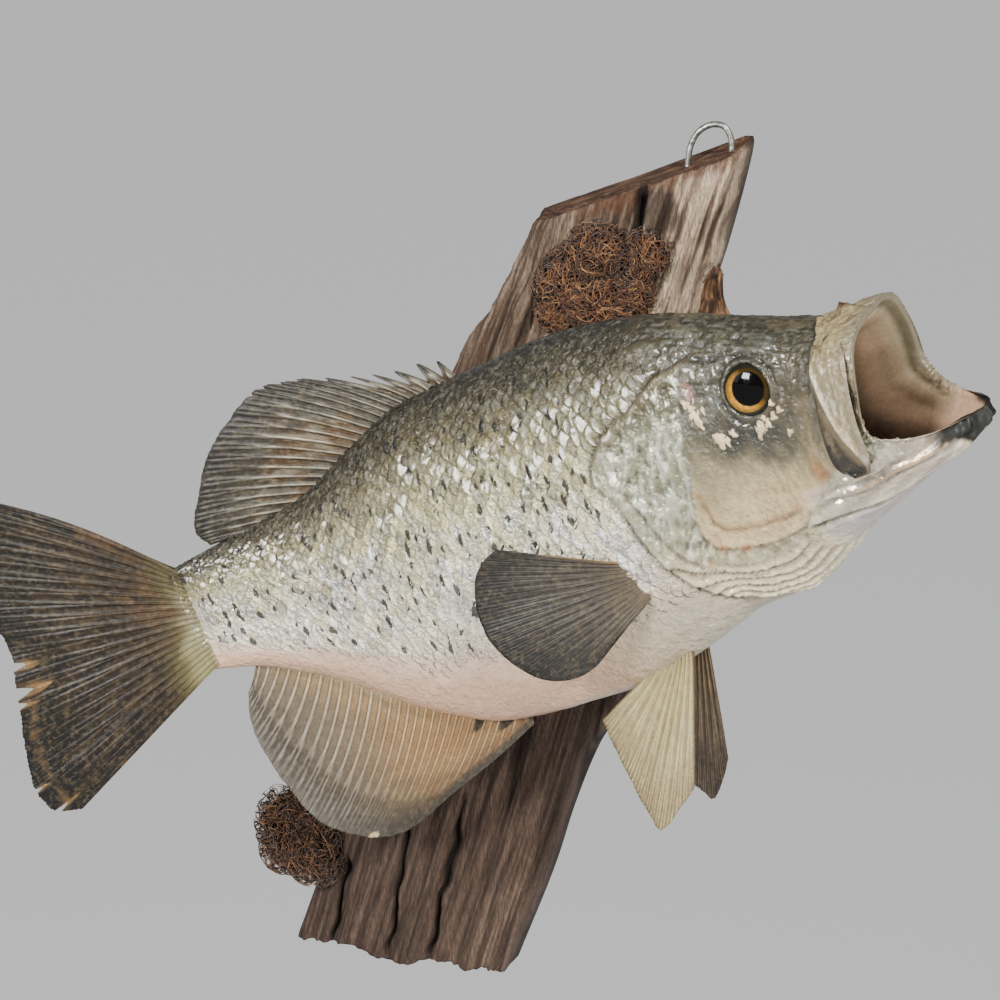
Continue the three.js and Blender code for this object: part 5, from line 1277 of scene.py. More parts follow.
def pelvic_colour(A, B, reach, rib, fine, coarse, k):
    c = ramp(reach + 0.04 * coarse, [(0, "#6e5a3a"), (0.08, "#9a8a5d"), (0.35, "#a5986a"), (0.65, "#9c8f68"), (0.88, "#837350"), (1, "#5a4930")])
    c = tint(c, "#c6bb8f", 0.6 * rib * (0.6 + 0.5 * fine))
    c = tint(c, "#6a5c3c", 0.55 * (1 - rib) * (0.7 + 0.4 * fine))
    c = tint(c, "#4c3a24", 0.7 * np.maximum(sstep(0.03, 0.0, A), sstep(0.975, 1.0, A)))
    return c, 0.48, 0.06


def pelvic_dark(A, B, reach, rib, fine, coarse, k):
    c = ramp(reach + 0.05 * coarse, [(0, "#4f3f2b"), (0.3, "#5b4c39"), (0.7, "#463a2e"), (1, "#221c16")])
    c = tint(c, "#85745a", 0.55 * rib * (0.6 + 0.5 * fine))
    return c, 0.5, 0.04


TAIL_TEARS = [(0.505, 0.010, 0.07), (0.57, 0.014, 0.09), (0.60, 0.008, 0.05), (0.83, 0.007, 0.04), (0.93, 0.010, 0.06)]


def flat_frame(s, y, z, axis, across):
    o = P(s, y, z)
    ax = unit(axis)
    ac = unit(across - ax * (across @ ax))
    no = np.cross(ax, ac)
    return lambda p, q, off: o + ax * p[..., None] + ac * q[..., None] + no * off[..., None]


def make_fins():
    def spines(A, B, rib):
        front = sstep(0.27, 0.20, A)
        x = np.abs((A * 24) % 1 - 0.5) * 2                       # 0 between spines... 1 on the web
        return front * 0.40 * np.clip(x * 1.25 - 0.08, 0, 1) ** 0.75 + 0.05 * sstep(0.5, 0.3, A) * sstep(0.4, 1.0, x)
    make_fin("dorsal_fin_rays", "dorsal_fin", "fin_dark",
             [[158, 50], [178, 49], [198, 44], [218, 35], [242, 25]],
             [[161.5, 65.8], [171, 68.6], [182.5, 68.9], [195, 71], [209, 74.6], [224, 78.4], [240, 80], [255, 72], [267, 62.5], [276, 50], [283, 37.6], [279.5, 29.6]],
             in_fish(lambda a, b: 1.6 * b * np.sin(5 * a)), rays=24, nb=80, thick_root=2.4, notch=spines, colour=dorsal_colour, seed=101,
             skew=[0, 2.6, 4.6, 5.9, 6.8, 7.9, 8.9, 9.8, 11], bow=-0.10, wave=0.7, cross=0.10, ray_height=(0.95, 0.30), rag=0.012, width=0.15, split=(0.5, 0.8))
    make_fin("anal_fin_rays", "anal_fin", "fin_dark",
             [[178, -65], [200, -60], [224, -49], [250, -31], [279, -15]],
             [[179, -76], [201.7, -86], [221.3, -93.4], [243.8, -102.8], [256.7, -105.2], [269, -102.4], [283, -92.8], [290.6, -76], [294.4, -56], [294.2, -43], [290, -31.6]],
             in_fish(lambda a, b: -1.5 * b * np.sin(4 * a + 1)), rays=31, nb=80, per=9, thick_root=2.4, bow=0.21, colour=anal_colour, seed=131,
             skew=[0, 1.7, 3.0, 4.1, 5.0, 5.9, 6.9, 8.2, 10], wave=0.7, cross=0.12, ray_height=(0.85, 0.28), rag=0.012, width=0.12, split=(0.42, 0.72))

    def tail_place(s, z, off, a, b):
        spread = 7 * np.sin(math.pi * np.clip(b, 0, 1)) * (0.5 - a) * np.maximum(0, 1 - 1.7 * a)
        return P(s, off + 1.4 * b * b * np.sin(7 * a), z + spread)
    make_fin("caudal_fin_rays", "caudal_fin", "fin_dark",
             [[295.5, 24.0], [295.5, 14], [295.5, 4], [295.5, -6], [295.5, -16.2]],
             [[353, 76.5], [367, 75.8], [377, 66], [379, 51], [376, 35], [373.2, 20], [376, 5], [381, -10], [385.5, -24], [388, -38], [385.4, -49.4], [374, -53.6]],
             tail_place, rays=22, nb=104, per=15, thick_root=4.6, lap=0.40, colour=caudal_colour, seed=151, split=(0.12, 0.45), width=0.15,
             wave=1.3, cross=0.10, ray_height=(0.85, 0.24), rag=0.010, tears=TAIL_TEARS)

    f, left, up = frame_at(110.0)
    for name, node, sgn, tilt, spread in (("pectoral_rays_right", "pectoral_fin_right", -1, 13, 1), ("pectoral_rays_left", "pectoral_fin_left", 1, 1.2, 0.8)):
        t = rad(tilt)
        at = flat_frame(104, sgn * 27, -33, -f * math.cos(t) + left * (sgn * math.sin(t)), up)
        make_fin(name, node, "fin_dark",
                 [[-4.5, 9], [-4.4, 6], [-4, 2.5], [-3.4, -1.5], [-2.6, -4.6]],
                 [[43, 31.5], [50, 28.5], [55.4, 22.6], [58.6, 13], [58.6, 3], [55.9, -4.6], [50.6, -13.2], [43.6, -19.6], [34, -22.4], [24, -20.4], [13, -13.2]],
                 lambda p, q, off, a, b, at=at, sgn=sgn, spread=spread: at(p, q * spread, off - sgn * (0.9 * np.sin(9 * a) * b + 6.5 * np.power(1 - b, 8) - 1.5 * b * b)),
                 rays=17, nb=66, per=17, crowd=1.2, thick_root=2.4, colour=pectoral_colour, seed=171 + sgn, split=(-0.25, -0.05), width=0.115,
                 ray_height=(0.38, 0.16), rag=0.003, wave=0.45, cross=0.10)

    f, left, up = frame_at(106.0)
    for name, node, sgn, splay, root, margin, col in (
            ("pelvic_rays_right", "pelvic_fin_right", -1, 22, [[-5, 3.5], [-6, 1], [-6, -1.5], [-6, -4], [-5, -6.5]],
             [[46, -7], [52, -14], [58.6, -23.4], [52.5, -27.4], [45.5, -30.7], [37, -33.6], [29.7, -36.2], [21, -38.6], [14, -40.5]], pelvic_colour),
            ("pelvic_rays_left", "pelvic_fin_left", 1, 14, [[-5, 3.5], [-6, 1.5], [-6, -1], [-6, -3.4], [-5, -6]],
             [[50, -15.5], [57, -21], [66, -30], [62, -33], [57, -36], [49, -38.5], [40, -40.5], [30, -42], [20, -42.5]], pelvic_dark)):
        t = rad(splay)
        at = flat_frame(106, sgn * 8, -66, -up * math.cos(t) + left * (sgn * math.sin(t)), f)
        make_fin(name, node, "fin_pale" if sgn < 0 else "fin_dark", root, margin,
                 lambda p, q, off, a, b, at=at: at(p, q, off + 0.8 * np.sin(8 * a) * b),
                 rays=9, nb=64, per=19, thick_root=3.4, colour=col, seed=191 + sgn, split=(0.05, 0.25), width=0.13,
                 ray_height=(0.55, 0.18), rag=0.012, wave=0.5, cross=0.10)


# ============================================================ flakes of old paint beside the eye
def make_flakes(tree):
    spots = [((241.0, .345), 2, 2.0), ((242.5, .375), 3, 2.7), ((243.5, .365), 1, 2.0), ((249.5, .418), 3, 2.9), ((253, .432), 2, 2.6),
             ((265, .425), 3, 3.0), ((269, .402), 3, 2.3), ((272.5, .378), 2, 2.1), ((276, .43), 1, 1.7)]
    co_all, q_all, c_all, n0 = [], [], [], 0
    k = 0
    for (w0, u0), count, size in spots:
        for _ in range(count):
            k += 1
            h = [float(hashed(np.array(k), np.array(q), np.array(0), 91)) for q in range(8)]
            w, u = w0 + (h[0] - 0.5) * 4.2, u0 + (h[1] - 0.5) * 4.6 / GIRTH
            p, n, ahead, down = [q[0] for q in surface_frame(np.array([w]), np.array([u]))]
            down = unit(down)
            hit = tree.ray_cast(Vector((p + n * 9) * 0.001), Vector(-n))
            c = np.array(hit[0]) * 1000 if hit[0] is not None else p
            rx, ry = size * (0.8 + 1.0 * h[2]), size * (1.1 + 1.4 * h[3])
            tilt = (h[4] - 0.5) * 0.8
            ax, ay = ahead * math.cos(tilt) + down * math.sin(tilt), down * math.cos(tilt) - ahead * math.sin(tilt)
            nr, na = 4, 14
            for_r = np.linspace(0, 1, nr)
            ang = np.arange(na) * 2 * math.pi / na
            R, A = np.meshgrid(for_r, ang, indexing="ij")
            wob = 1 + 0.28 * np.sin(3 * A + 6 * h[5]) + 0.18 * np.sin(5 * A + 9 * h[6])
            x, y = R * np.cos(A) * rx * wob * 0.5, R * np.sin(A) * ry * wob * 0.5
            z = 0.55 * (1 - R ** 3) + 0.12 * np.sin(4 * x + 7 * h[7]) + 0.10
            z = np.where(R > 0.99, -0.8, z)
            pts = c + ax * x[..., None] + ay * y[..., None] + n * z[..., None]
            q = grid_quads(nr, na, closed_j=True, offset=n0)
            f0 = pts.reshape(-1, 3)
            nrm = np.cross(f0[q[na, 1] - n0] - f0[q[na, 0] - n0], f0[q[na, 3] - n0] - f0[q[na, 0] - n0])
            q_all.append(q if nrm @ n > 0 else q[:, ::-1])
            co_all.append(f0)
            tone = lin("#e3cfa6") * (0.75 + 0.35 * h[5])
            tone = tone * (1 - 0.35 * R[..., None] ** 4)
            c_all.append(tone.reshape(-1, 3))
            n0 += nr * na
    co = np.concatenate(co_all)
    ob = build("paint_flakes", co, np.concatenate(q_all), None, np.concatenate(c_all), np.tile([0.35, 0.05, 0], (len(co), 1)))
    return wear(ob, slot="skin", mat=bone_mat)


# ============================================================ driftwood
WOOD = {"bottom": -214, "thick": 25, "swell": 14, "undercut": 5, "cutLow": [-12.8, 99], "cutHigh": [71.5, 129], "cutTilt": 11}
wood_left = Curve([-214, -178, -156, -110, -60, 0, 41, 55, 66, 77, 94, 102, 150], [-112, -99, -94, -85, -73, -53, -35.5, -29, -20, -15, -8, -6.4, 5])
wood_right = Curve([-214, -169, -144, -116, -88, -36, 24, 73, 92, 125, 150], [-15, 1.6, 9, 19.5, 35.5, 47, 55, 63, 68.6, 76.6, 81])
TOP_TILT = math.atan2(WOOD["cutHigh"][1] - WOOD["cutLow"][1], WOOD["cutHigh"][0] - WOOD["cutLow"][0])
CRACK = [(41.5, 122), (40.4, 108), (39, 94.2), (37.6, 82), (36.6, 68.3), (35.2, 55)]
LOW_CRACKS = [[(-56, -150), (-59, -170), (-61, -190), (-66, -214)], [(-83, -176), (-88, -196), (-92, -214)], [(-30, -140), (-38, -170), (-47, -212)]]


def top_z(x, y):
    return WOOD["cutLow"][1] + (x - WOOD["cutLow"][0]) * math.tan(TOP_TILT) + y * math.tan(rad(WOOD["cutTilt"])) / math.cos(TOP_TILT)


def wood_xy(z, t):
    x0, x1 = wood_left(z), wood_right(z)
    swell = WOOD["swell"] * np.exp(-((z + 18) / 62) ** 2)
    x = mix(x0, x1, 0.5 - 0.5 * np.cos(math.pi * t) * 0.86 - 0.5 * 0.14 * (1 - 2 * t))
    arch = (1 - np.abs(2 * t - 1) ** 5) ** 0.45
    lean = 0.3 * z
    grain = 1.1 * np.sin((x - lean) * 0.21) + 0.8 * np.sin((x - lean) * 0.47 + z * 0.01) + 0.9 * np.sin(z * 0.05 + x * 0.03)
    y = -(WOOD["thick"] + swell + grain) * arch
    return x, y, arch


def crack_field(x, z):
    """depth of the long splits in the wood's face, which also sets the painted shade in them"""
    depth = np.zeros_like(x)
    for line, wide, deep in [(CRACK, 1.5, 6.0)] + [(c, 1.1, 4.5) for c in LOW_CRACKS]:
        zs, xs = np.array([q[1] for q in line])[::-1], np.array([q[0] for q in line])[::-1]
        xc = np.interp(z, zs, xs) + 0.9 * noise(z * 0.12, z * 0, 0, 7)
        ends = sstep(zs[0] - 4, zs[0] + 10, z) * (1 - sstep(zs[-1] - 1, zs[-1] + 8, z)) if line is not CRACK else sstep(zs[0] - 6, zs[0] + 14, z)
        w = wide * (0.7 + 0.5 * noise(z * 0.07, z * 0, 0, 9))
        depth = np.maximum(depth, deep * np.exp(-((x - xc) / np.maximum(w, 0.4)) ** 2) * ends)
    return depth


def make_wood(tree):
    nz, nt_, = 330, 210
    lean = math.tan(rad(16.7))
    tz = np.linspace(0, 1, nz)
    tt = np.linspace(0.0, 1.0, nt_)
    T, Z01 = np.meshgrid(tt, tz, indexing="xy")
    # top of each column where it meets the sawn plane
    top = np.full(nt_, 110.0)
    for _ in range(14):
        x, y, _a = wood_xy(top, tt)
        top = 0.5 * top + 0.5 * top_z(x, y)
    foot = WOOD["bottom"] + 3.2 * noise(tt * 6, tt * 0, 0, 2) + 1.4 * noise(tt * 22, tt * 0, 0, 3) + 0.7 * noise(tt * 70, tt * 0, 0, 4)
    foot = np.maximum(foot, WOOD["bottom"] - 6.5)
    Z = foot[None, :] + (top - foot)[None, :] * Z01
    X, Y, A = wood_xy(Z, T)
    g = X - lean * Z                                          # across the grain
    long_ = 0.6 * noise(g * 0.13, Z * 0.010, 0, 21) + 0.26 * noise(g * 0.5, Z * 0.015, 0, 23) + 0.34 * noise(g * 1.0, Z * 0.02, 0, 25)
    flake = np.maximum(0, fbm(g * 0.30, Z * 0.09, 0, 4, 27)) * 0.9
    step = np.floor(2.6 * fbm(g * 0.16, Z * 0.05, 0, 3, 29)) * 0.40       # flaked-off layers
    upper = sstep(20, 60, Z)
    d = (0.55 * long_ + flake * upper + step * upper + 0.3 * long_ * upper) * sstep(0, 0.35, A)
    d = d - crack_field(X, Z) * sstep(0.2, 0.6, A)
    bevel = np.exp(-((top[None, :] - Z) / 1.6)) * 1.1
    d = d - bevel
    # outward direction of the face
    dX, dY = np.gradient(X, axis=1), np.gradient(Y, axis=1)
    ln = np.hypot(dX, dY) + 1e-9
    nx, ny = dY / ln, -dX / ln
    X2, Y2 = X + nx * d, Y + ny * d
    # side edges curl under to the flat back
    Y2 = np.minimum(Y2, -0.2)
    # seat for the fish: the face stays behind its far flank
    Yf = Y2.ravel().copy()
    xf, zf = X2.ravel(), Z.ravel()
    hitmap = np.full(len(Yf), np.nan)
    for i in np.nonzero((zf > -110) & (zf < 95) & (xf > -110) & (xf < 90))[0]:
        hit = tree.ray_cast(Vector((xf[i] * 0.001, 0.02, zf[i] * 0.001)), Vector((0, -1, 0)))
        if hit[0] is not None:
            hitmap[i] = hit[0].y * 1000
    ok = ~np.isnan(hitmap)
    covered = ok & (hitmap > Yf - 1.2)
    Yf[ok] = np.maximum(Yf[ok], np.minimum(hitmap[ok] + 0.5, -1.0))
    Y2 = Yf.reshape(Y2.shape)
    front = np.stack([X2, Y2, Z], -1)
    # colours
    n1 = 0.22 * fbm(g * 0.10, Z * 0.010, 0, 3, 31) + 0.50 * fbm(g * 0.60, Z * 0.03, 0, 2, 32)
    n2 = fbm(g * 1.1, Z * 0.05, 0, 3, 33)
    n3 = fbm(X * 0.05, Z * 0.05, 0, 3, 35)
    low = ramp(0.5 + 0.4 * n1 + 0.25 * n2, [(0, "#1c1410"), (0.35, "#34271f"), (0.6, "#45362c"), (0.8, "#524237"), (1, "#625145")])
    high = ramp(0.5 + 0.45 * n1 + 0.30 * n2, [(0, "#241a14"), (0.3, "#453629"), (0.55, "#5d4c3e"), (0.75, "#705e50"), (1, "#867365")])
    pale = ramp(0.5 + 0.45 * n1 + 0.35 * n2, [(0, "#352820"), (0.3, "#6d5b4c"), (0.55, "#937f6d"), (0.8, "#a9967f"), (1, "#baa892")])
    right = sstep(39, 45, X + 0.05 * (Z - 100))
    col = mix(low, high, upper[..., None])
    col = mix(col, pale, (upper * right * sstep(-0.6, 0.2, n1 + 0.5 * n3))[..., None])
    gap = top[None, :] - Z + 3.0 * n3 + 1.5 * n2
    col = tint(col, "#553726", 0.7 * sstep(5.5, 3.0, gap) * sstep(8, 30, X))
    col = tint(col, "#3d2a20", 0.6 * sstep(60, 20, Z) * sstep(-20, 40, Z))
    col = tint(col, "#1a0f09", 0.75 * sstep(1.2, 0.7, np.hypot((X - 47) / 7.5, (Z - 106) / 9) + 0.3 * n3 + 0.2 * n2))
    # painted shade in the splits, by their depth
    dark = np.clip(crack_field(X, Z) / 3.0, 0, 1)
    col = tint(col, "#0b0705", 0.92 * dark)
    col = tint(col, "#17100c", 0.8 * sstep(0.55, 0.2, A) * (T > 0.5))
    col = tint(col, "#241811", 0.7 * sstep(0.5, 0.15, A) * (T < 0.5))
    rough = np.clip(0.82 - 0.10 * n2 + 0 * Z, 0.5, 1)
    # back: flat on the wall, set in a little from the sides
    nb = 24
    back_t = np.linspace(1, 0, nb)
    left_x, right_x = X2[:, 0] + WOOD["undercut"] * 0.6, X2[:, -1] - WOOD["undercut"] * 0.6
    bx = left_x[:, None] + (right_x - left_x)[:, None] * back_t[None, :]
    back = np.stack([bx, np.zeros_like(bx), np.repeat(Z[:, :1] * 0, nb, 1)], -1)
    zl, zr = Z[:, 0], Z[:, -1]
    back[..., 2] = zl[:, None] + (zr - zl)[:, None] * back_t[None, :]
    gb = back[..., 0] - lean * back[..., 2]
    nbk = fbm(gb * 0.3, back[..., 2] * 0.02, 0, 3, 37)
    bcol = ramp(0.5 + 0.5 * nbk, [(0, "#4a3527"), (0.5, "#7b5d45"), (1, "#a1815f")])
    ring = np.concatenate([front, back], 1)
    rcol = np.concatenate([col, bcol], 1)
    rrough = np.concatenate([rough, np.full(bcol.shape[:2], 0.85)], 1)
    n_ring = ring.shape[1]
    co = ring.reshape(-1, 3)
    quads = grid_quads(nz, n_ring, closed_j=True)
    pts, cols, rgs, extra_q, extra_t = [co], [rcol.reshape(-1, 3)], [rrough.reshape(-1)], [quads], []
    base = len(co)
    # end faces: rings that shrink towards a middle line
    for row, sgn in ((nz - 1, 1), (0, -1)):
        rim = ring[row]
        mid_x = 0.5 * (rim[:, 0].min() + rim[:, 0].max())
        spine_x = np.clip(rim[:, 0], rim[:, 0].min() + 10, rim[:, 0].max() - 10)
        target = np.stack([spine_x, np.full(n_ring, -12.5), np.interp(spine_x, [rim[:, 0].min(), rim[:, 0].max()], [0, 0])], -1)
        if sgn > 0:
            target[:, 2] = top_z(target[:, 0], target[:, 1])
        else:
            target[:, 2] = rim[:, 2].mean() + 3.0
        prev = row * n_ring + np.arange(n_ring)
        steps = 12
        for k in range(1, steps + 1):
            f = k / steps
            ringk = rim * (1 - f) + target * f
            if sgn > 0:
                saw = 0.22 * np.sin(ringk[:, 0] * 1.9 + 0.2 * ringk[:, 1]) + 0.2 * noise(ringk[:, 0] * 0.6, ringk[:, 1] * 0.6, 0, 41)
                ringk[:, 2] = np.where(f > 0.05, top_z(ringk[:, 0], ringk[:, 1]) - 0.25 + saw * (f < 0.99), ringk[:, 2])
            else:
                ringk[:, 2] = ringk[:, 2] + 1.6 * noise(ringk[:, 0] * 0.4, ringk[:, 1] * 0.4, 0, 43) * (f > 0.1)
            cur = base + np.arange(n_ring)
            nxt = np.roll(np.arange(n_ring), -1)
            q = np.stack([prev, cur, cur[nxt], prev[nxt]], -1)
            extra_q.append(q if sgn < 0 else q[:, ::-1])
            pts.append(ringk)
            nn = fbm(ringk[:, 0] * 0.25, ringk[:, 1] * 0.5, 0, 3, 45)
            cc = ramp(0.5 + 0.5 * nn, [(0, "#2f1a10"), (0.5, "#4a3325"), (1, "#6c513d")]) if sgn > 0 else ramp(0.5 + 0.5 * nn, [(0, "#2a1c14"), (1, "#5c4636")])
            cols.append(cc)
            rgs.append(np.full(n_ring, 0.85))
            prev = cur
            base += n_ring
    pts, cols, rgs = np.concatenate(pts), np.concatenate(cols), np.concatenate(rgs)
    q = np.concatenate(extra_q)
    q = face_out(pts, q)
    # the two ends were turned with the same sense as the sides; make sure they agree
    ob = build("driftwood_slab", pts, q, None, cols, np.stack([rgs, rgs * 0, rgs * 0], -1))
    bm_fix(ob)
    return wear(ob, "driftwood", slot="wood", mat=wood_mat), front


def bm_fix(ob):
    import bmesh
    bm = bmesh.new()
    bm.from_mesh(ob.data)
    bmesh.ops.remove_doubles(bm, verts=bm.verts, dist=1e-6)
    bmesh.ops.recalc_face_normals(bm, faces=bm.faces)
    bm.to_mesh(ob.data)
    bm.free()
    ob.data.update()


def make_chip():
    ni, nj = 70, 34
    Tg, V = np.meshgrid(np.linspace(0, 1, ni), np.linspace(0, 1, nj) - 0.5, indexing="ij")
    wide = mix(15, 3, Tg ** 1.3) * (1 + 0.12 * np.sin(9 * Tg))
    thick = mix(4.5, 1.4, Tg) * (1 - 1.4 * V * V)
    rough_ = 0.5 * noise(V * 14, Tg * 4, 0, 5) + 0.3 * noise(V * 30, Tg * 9, 0, 6)
    jag = 1.6 * noise(V * 9, V * 0, 0, 8) * sstep(0.85, 1, Tg)

    def at(side):
        x = mix(64, 69.5, Tg) + V * wide + 1.2 * np.sin(6 * Tg)
        y = -17 + 2 * V + side * (thick / 2 + rough_ * 0.6) + 1.2 * np.sin(5 * Tg)
        z = mix(60, 84, Tg) - 3 * np.abs(V) + 1.2 * np.sin(11 * V) + jag
        return np.stack([x, y, z], -1)
    co, quads = sheet_mesh(at(-1), at(1))
    quads = face_out(co, quads)
    n = fbm(V * 12, Tg * 5, 0, 4, 9)
    c = ramp(0.5 + 0.5 * n, [(0, "#1e130c"), (0.4, "#3f2a1b"), (0.75, "#664930"), (1, "#8c6c4c")])
    ob = build("bark_flake", co, quads, None, np.concatenate([c.reshape(-1, 3)] * 2), np.tile([0.8, 0, 0], (len(co), 1)))
    return wear(ob, "bark_chip", slot="wood", mat=wood_mat)


# ============================================================ moss
def fibres(name, lumps, count, seed, length, dark, node, tree, radius=(0.10, 0.24), lo=None, hi=None):
    """a mat of short curled fibres over the outer half of some soft lumps, with a matted core under them"""
    k = np.arange(count)
    zero = k * 0
    h = lambda q: hashed(k, zero + q, zero, seed)
    total = sum(l[2] for l in lumps)
    pick = np.searchsorted(np.cumsum([l[2] / total for l in lumps]), h(0))
    pick = np.clip(pick, 0, len(lumps) - 1)
    at = np.array([l[0] for l in lumps], float)[pick]
    size = np.array([l[1] for l in lumps], float)[pick]
    ang, rr = h(1) * 2 * math.pi, np.sqrt(h(2)) * (0.94 + 0.14 * h(9))
    ux, uz = np.cos(ang) * rr, np.sin(ang) * rr
    uy = -np.sqrt(np.clip(1 - np.minimum(rr, 1) ** 2, 0, 1)) * (0.45 + 0.6 * h(3))
    p = at + np.stack([ux, uy, uz], -1) * size
    d = unit(np.stack([h(4) - 0.5, -0.12 - 0.5 * h(5), h(6) - 0.5], -1))
    steps = 7
    seg = length * (0.5 + 0.9 * h(7)) / steps
    line = [p]
    axis = unit(np.stack([h(10) - 0.5, h(11) - 0.5, h(12) - 0.5], -1))
    turn = (h(13) - 0.5) * 1.4
    for i in range(steps):
        c, s_ = np.cos(turn)[:, None], np.sin(turn)[:, None]
        d = d * c + np.cross(axis, d) * s_ + axis * ((axis * d).sum(-1)[:, None]) * (1 - c)
        turn = turn * 0.9 + (hashed(k, zero + 20 + i, zero, seed) - 0.5) * 0.9
        q = line[-1] + d * seg[:, None]
        lim = at + (q - at) / np.maximum(1, np.linalg.norm((q - at) / (size * [1.12, 1.25, 1.12]), axis=-1))[:, None]
        line.append(lim)
    L = np.stack(line, 1)                                   # count x steps+1 x 3
    if lo is not None:
        L = np.clip(L, lo, hi)
    tng = unit(np.gradient(L, axis=1))
    side = unit(np.cross(tng, np.array([0.31, 0.62, 0.72])))
    up = np.cross(tng, side)
    taper = np.linspace(1, 0.35, steps + 1)[None, :, None]
    r = (radius[0] + (radius[1] - radius[0]) * h(8))[:, None, None] * taper
    ring = np.stack([side * math.cos(a) * r + up * math.sin(a) * r for a in (0, 2.094, 4.189)], 2) + L[:, :, None, :]
    n3 = 3 * (steps + 1)
    one = grid_quads(steps + 1, 3, closed_j=True)
    quads = (one[None] + (k * n3)[:, None, None]).reshape(-1, 4)
    co = ring.reshape(-1, 3)
    tone = ramp(h(14), [(0, "#24130a"), (0.3, "#442716"), (0.6, "#623d23"), (0.85, "#7f5634"), (1, "#9d7549")]) * dark
    # painted shade on fibres rooted deeper in the mat, and painted light that brightens each fibre towards its tip
    depth = np.clip(0.45 + 0.75 * (-(p[:, 1] - at[:, 1]) / size[:, 1]), 0.3, 1.1)
    col = (tone * depth[:, None])[:, None, None, :] * np.ones((1, steps + 1, 3, 1)) * np.linspace(0.8, 1.15, steps + 1)[None, :, None, None]
    # core: darker than the fibres, partly the matted moss's own colour and partly painted shade under the fibres
    nr, na = 22, 44
    n0 = len(co)
    cos_, cqs, ccs = [co], [quads], [col.reshape(-1, 3)]
    for (c0, sz, _wt) in lumps:
        th, ph = np.meshgrid(np.linspace(0.0, math.pi, nr), np.arange(na) * 2 * math.pi / na, indexing="ij")
        x, z, y = np.sin(th) * np.cos(ph), np.sin(th) * np.sin(ph), -np.cos(th)
        wob = 0.80 + 0.10 * noise(x * 3.1 + 5, y * 3.1, z * 3.1, seed + 2) + 0.10 * noise(x * 8 + 5, y * 8, z * 8, seed + 3)
        q = np.array(c0) + np.stack([x * wob * sz[0], y * wob * sz[1] * 0.8, z * wob * sz[2]], -1)
        cos_.append(q.reshape(-1, 3))
        cq = grid_quads(nr, na, closed_j=True, offset=n0)
        cqs.append(cq[:, ::-1] if np.cross(q[11, 1] - q[11, 0], q[12, 0] - q[11, 0]) @ (q[11, 0] - np.array(c0)) < 0 else cq)
        tone2 = ramp(0.5 + 0.5 * noise(x * 9, y * 9, z * 9, seed + 4), [(0, "#0c0603"), (0.6, "#241408"), (1, "#3d2613")]) * dark
        ccs.append(tone2.reshape(-1, 3))
        n0 += nr * na
    co, quads, cc = np.concatenate(cos_), np.concatenate(cqs), np.concatenate(ccs)
    ob = build(name, co, quads, None, cc, np.tile([0.9, 0, 0], (len(co), 1)))
    return wear(ob, node, slot="moss", mat=moss_mat)


# ============================================================ hanging wire
LOOP = {"wire": 1.15, "width": 16.5, "rise": 12, "y": -11}


def tube(path, radius, sides=14):
    tng = unit(np.gradient(path, axis=0))
    side = unit(np.cross(tng, [0, 1, 0.001]))
    up = np.cross(tng, side)
    a = np.arange(sides) * 2 * math.pi / sides
    r = np.asarray(radius) * np.ones(len(path))
    ring = path[:, None] + r[:, None, None] * (side[:, None] * np.cos(a)[None, :, None] + up[:, None] * np.sin(a)[None, :, None])
    return ring


def capped(name, ring, colour, surf):
    n, m = ring.shape[:2]
    co = np.concatenate([ring.reshape(-1, 3), ring[0].mean(0)[None], ring[-1].mean(0)[None]])
    q = grid_quads(n, m, closed_j=True)
    j = np.arange(m)
    t = np.concatenate([np.stack([np.full(m, n * m), j, (j + 1) % m], -1), np.stack([np.full(m, n * m + 1), (n - 1) * m + (j + 1) % m, (n - 1) * m + j], -1)])
    ob = build(name, co, q, t, colour(co), surf(co))
    bm_fix(ob)
    return ob


def make_wire():
    x0, y0 = 63.0, LOOP["y"]
    base = top_z(x0, y0)
    pts = [[-0.5, -0.75], [-0.5, -0.35], [-0.49, 0.1], [-0.44, 0.5], [-0.28, 0.85], [0, 1], [0.28, 0.9], [0.43, 0.62], [0.49, 0.3], [0.5, -0.1], [0.5, -0.5]]
    ctl = np.array([[x0 + w * LOOP["width"], y0 + 0.8 * w, base + w * LOOP["width"] * math.tan(TOP_TILT) * 0.6 + h * LOOP["rise"]] for w, h in pts])
    path = through(ctl, np.linspace(0, 1, 160))
    nick = 1 + 0.03 * noise(np.arange(160) * 0.35, np.zeros(160), 0, 3)
    ring = tube(path, LOOP["wire"] * nick, 16)
    ob = capped("wire_loop", ring, lambda c: ramp(0.5 + 0.5 * fbm(c[:, 0] * 0.8, c[:, 1] * 0.8, c[:, 2] * 0.8, 3, 5), [(0, "#6f6d68"), (0.5, "#9b9b98"), (1, "#c4c5c4")]),
                lambda c: np.stack([0.38 + 0.1 * noise(c[:, 0], c[:, 1], c[:, 2], 9), 0.9 + 0 * c[:, 0], 0 * c[:, 0]], -1))
    return wear(ob, "hanger_loop", slot="steel", mat=wire_mat)


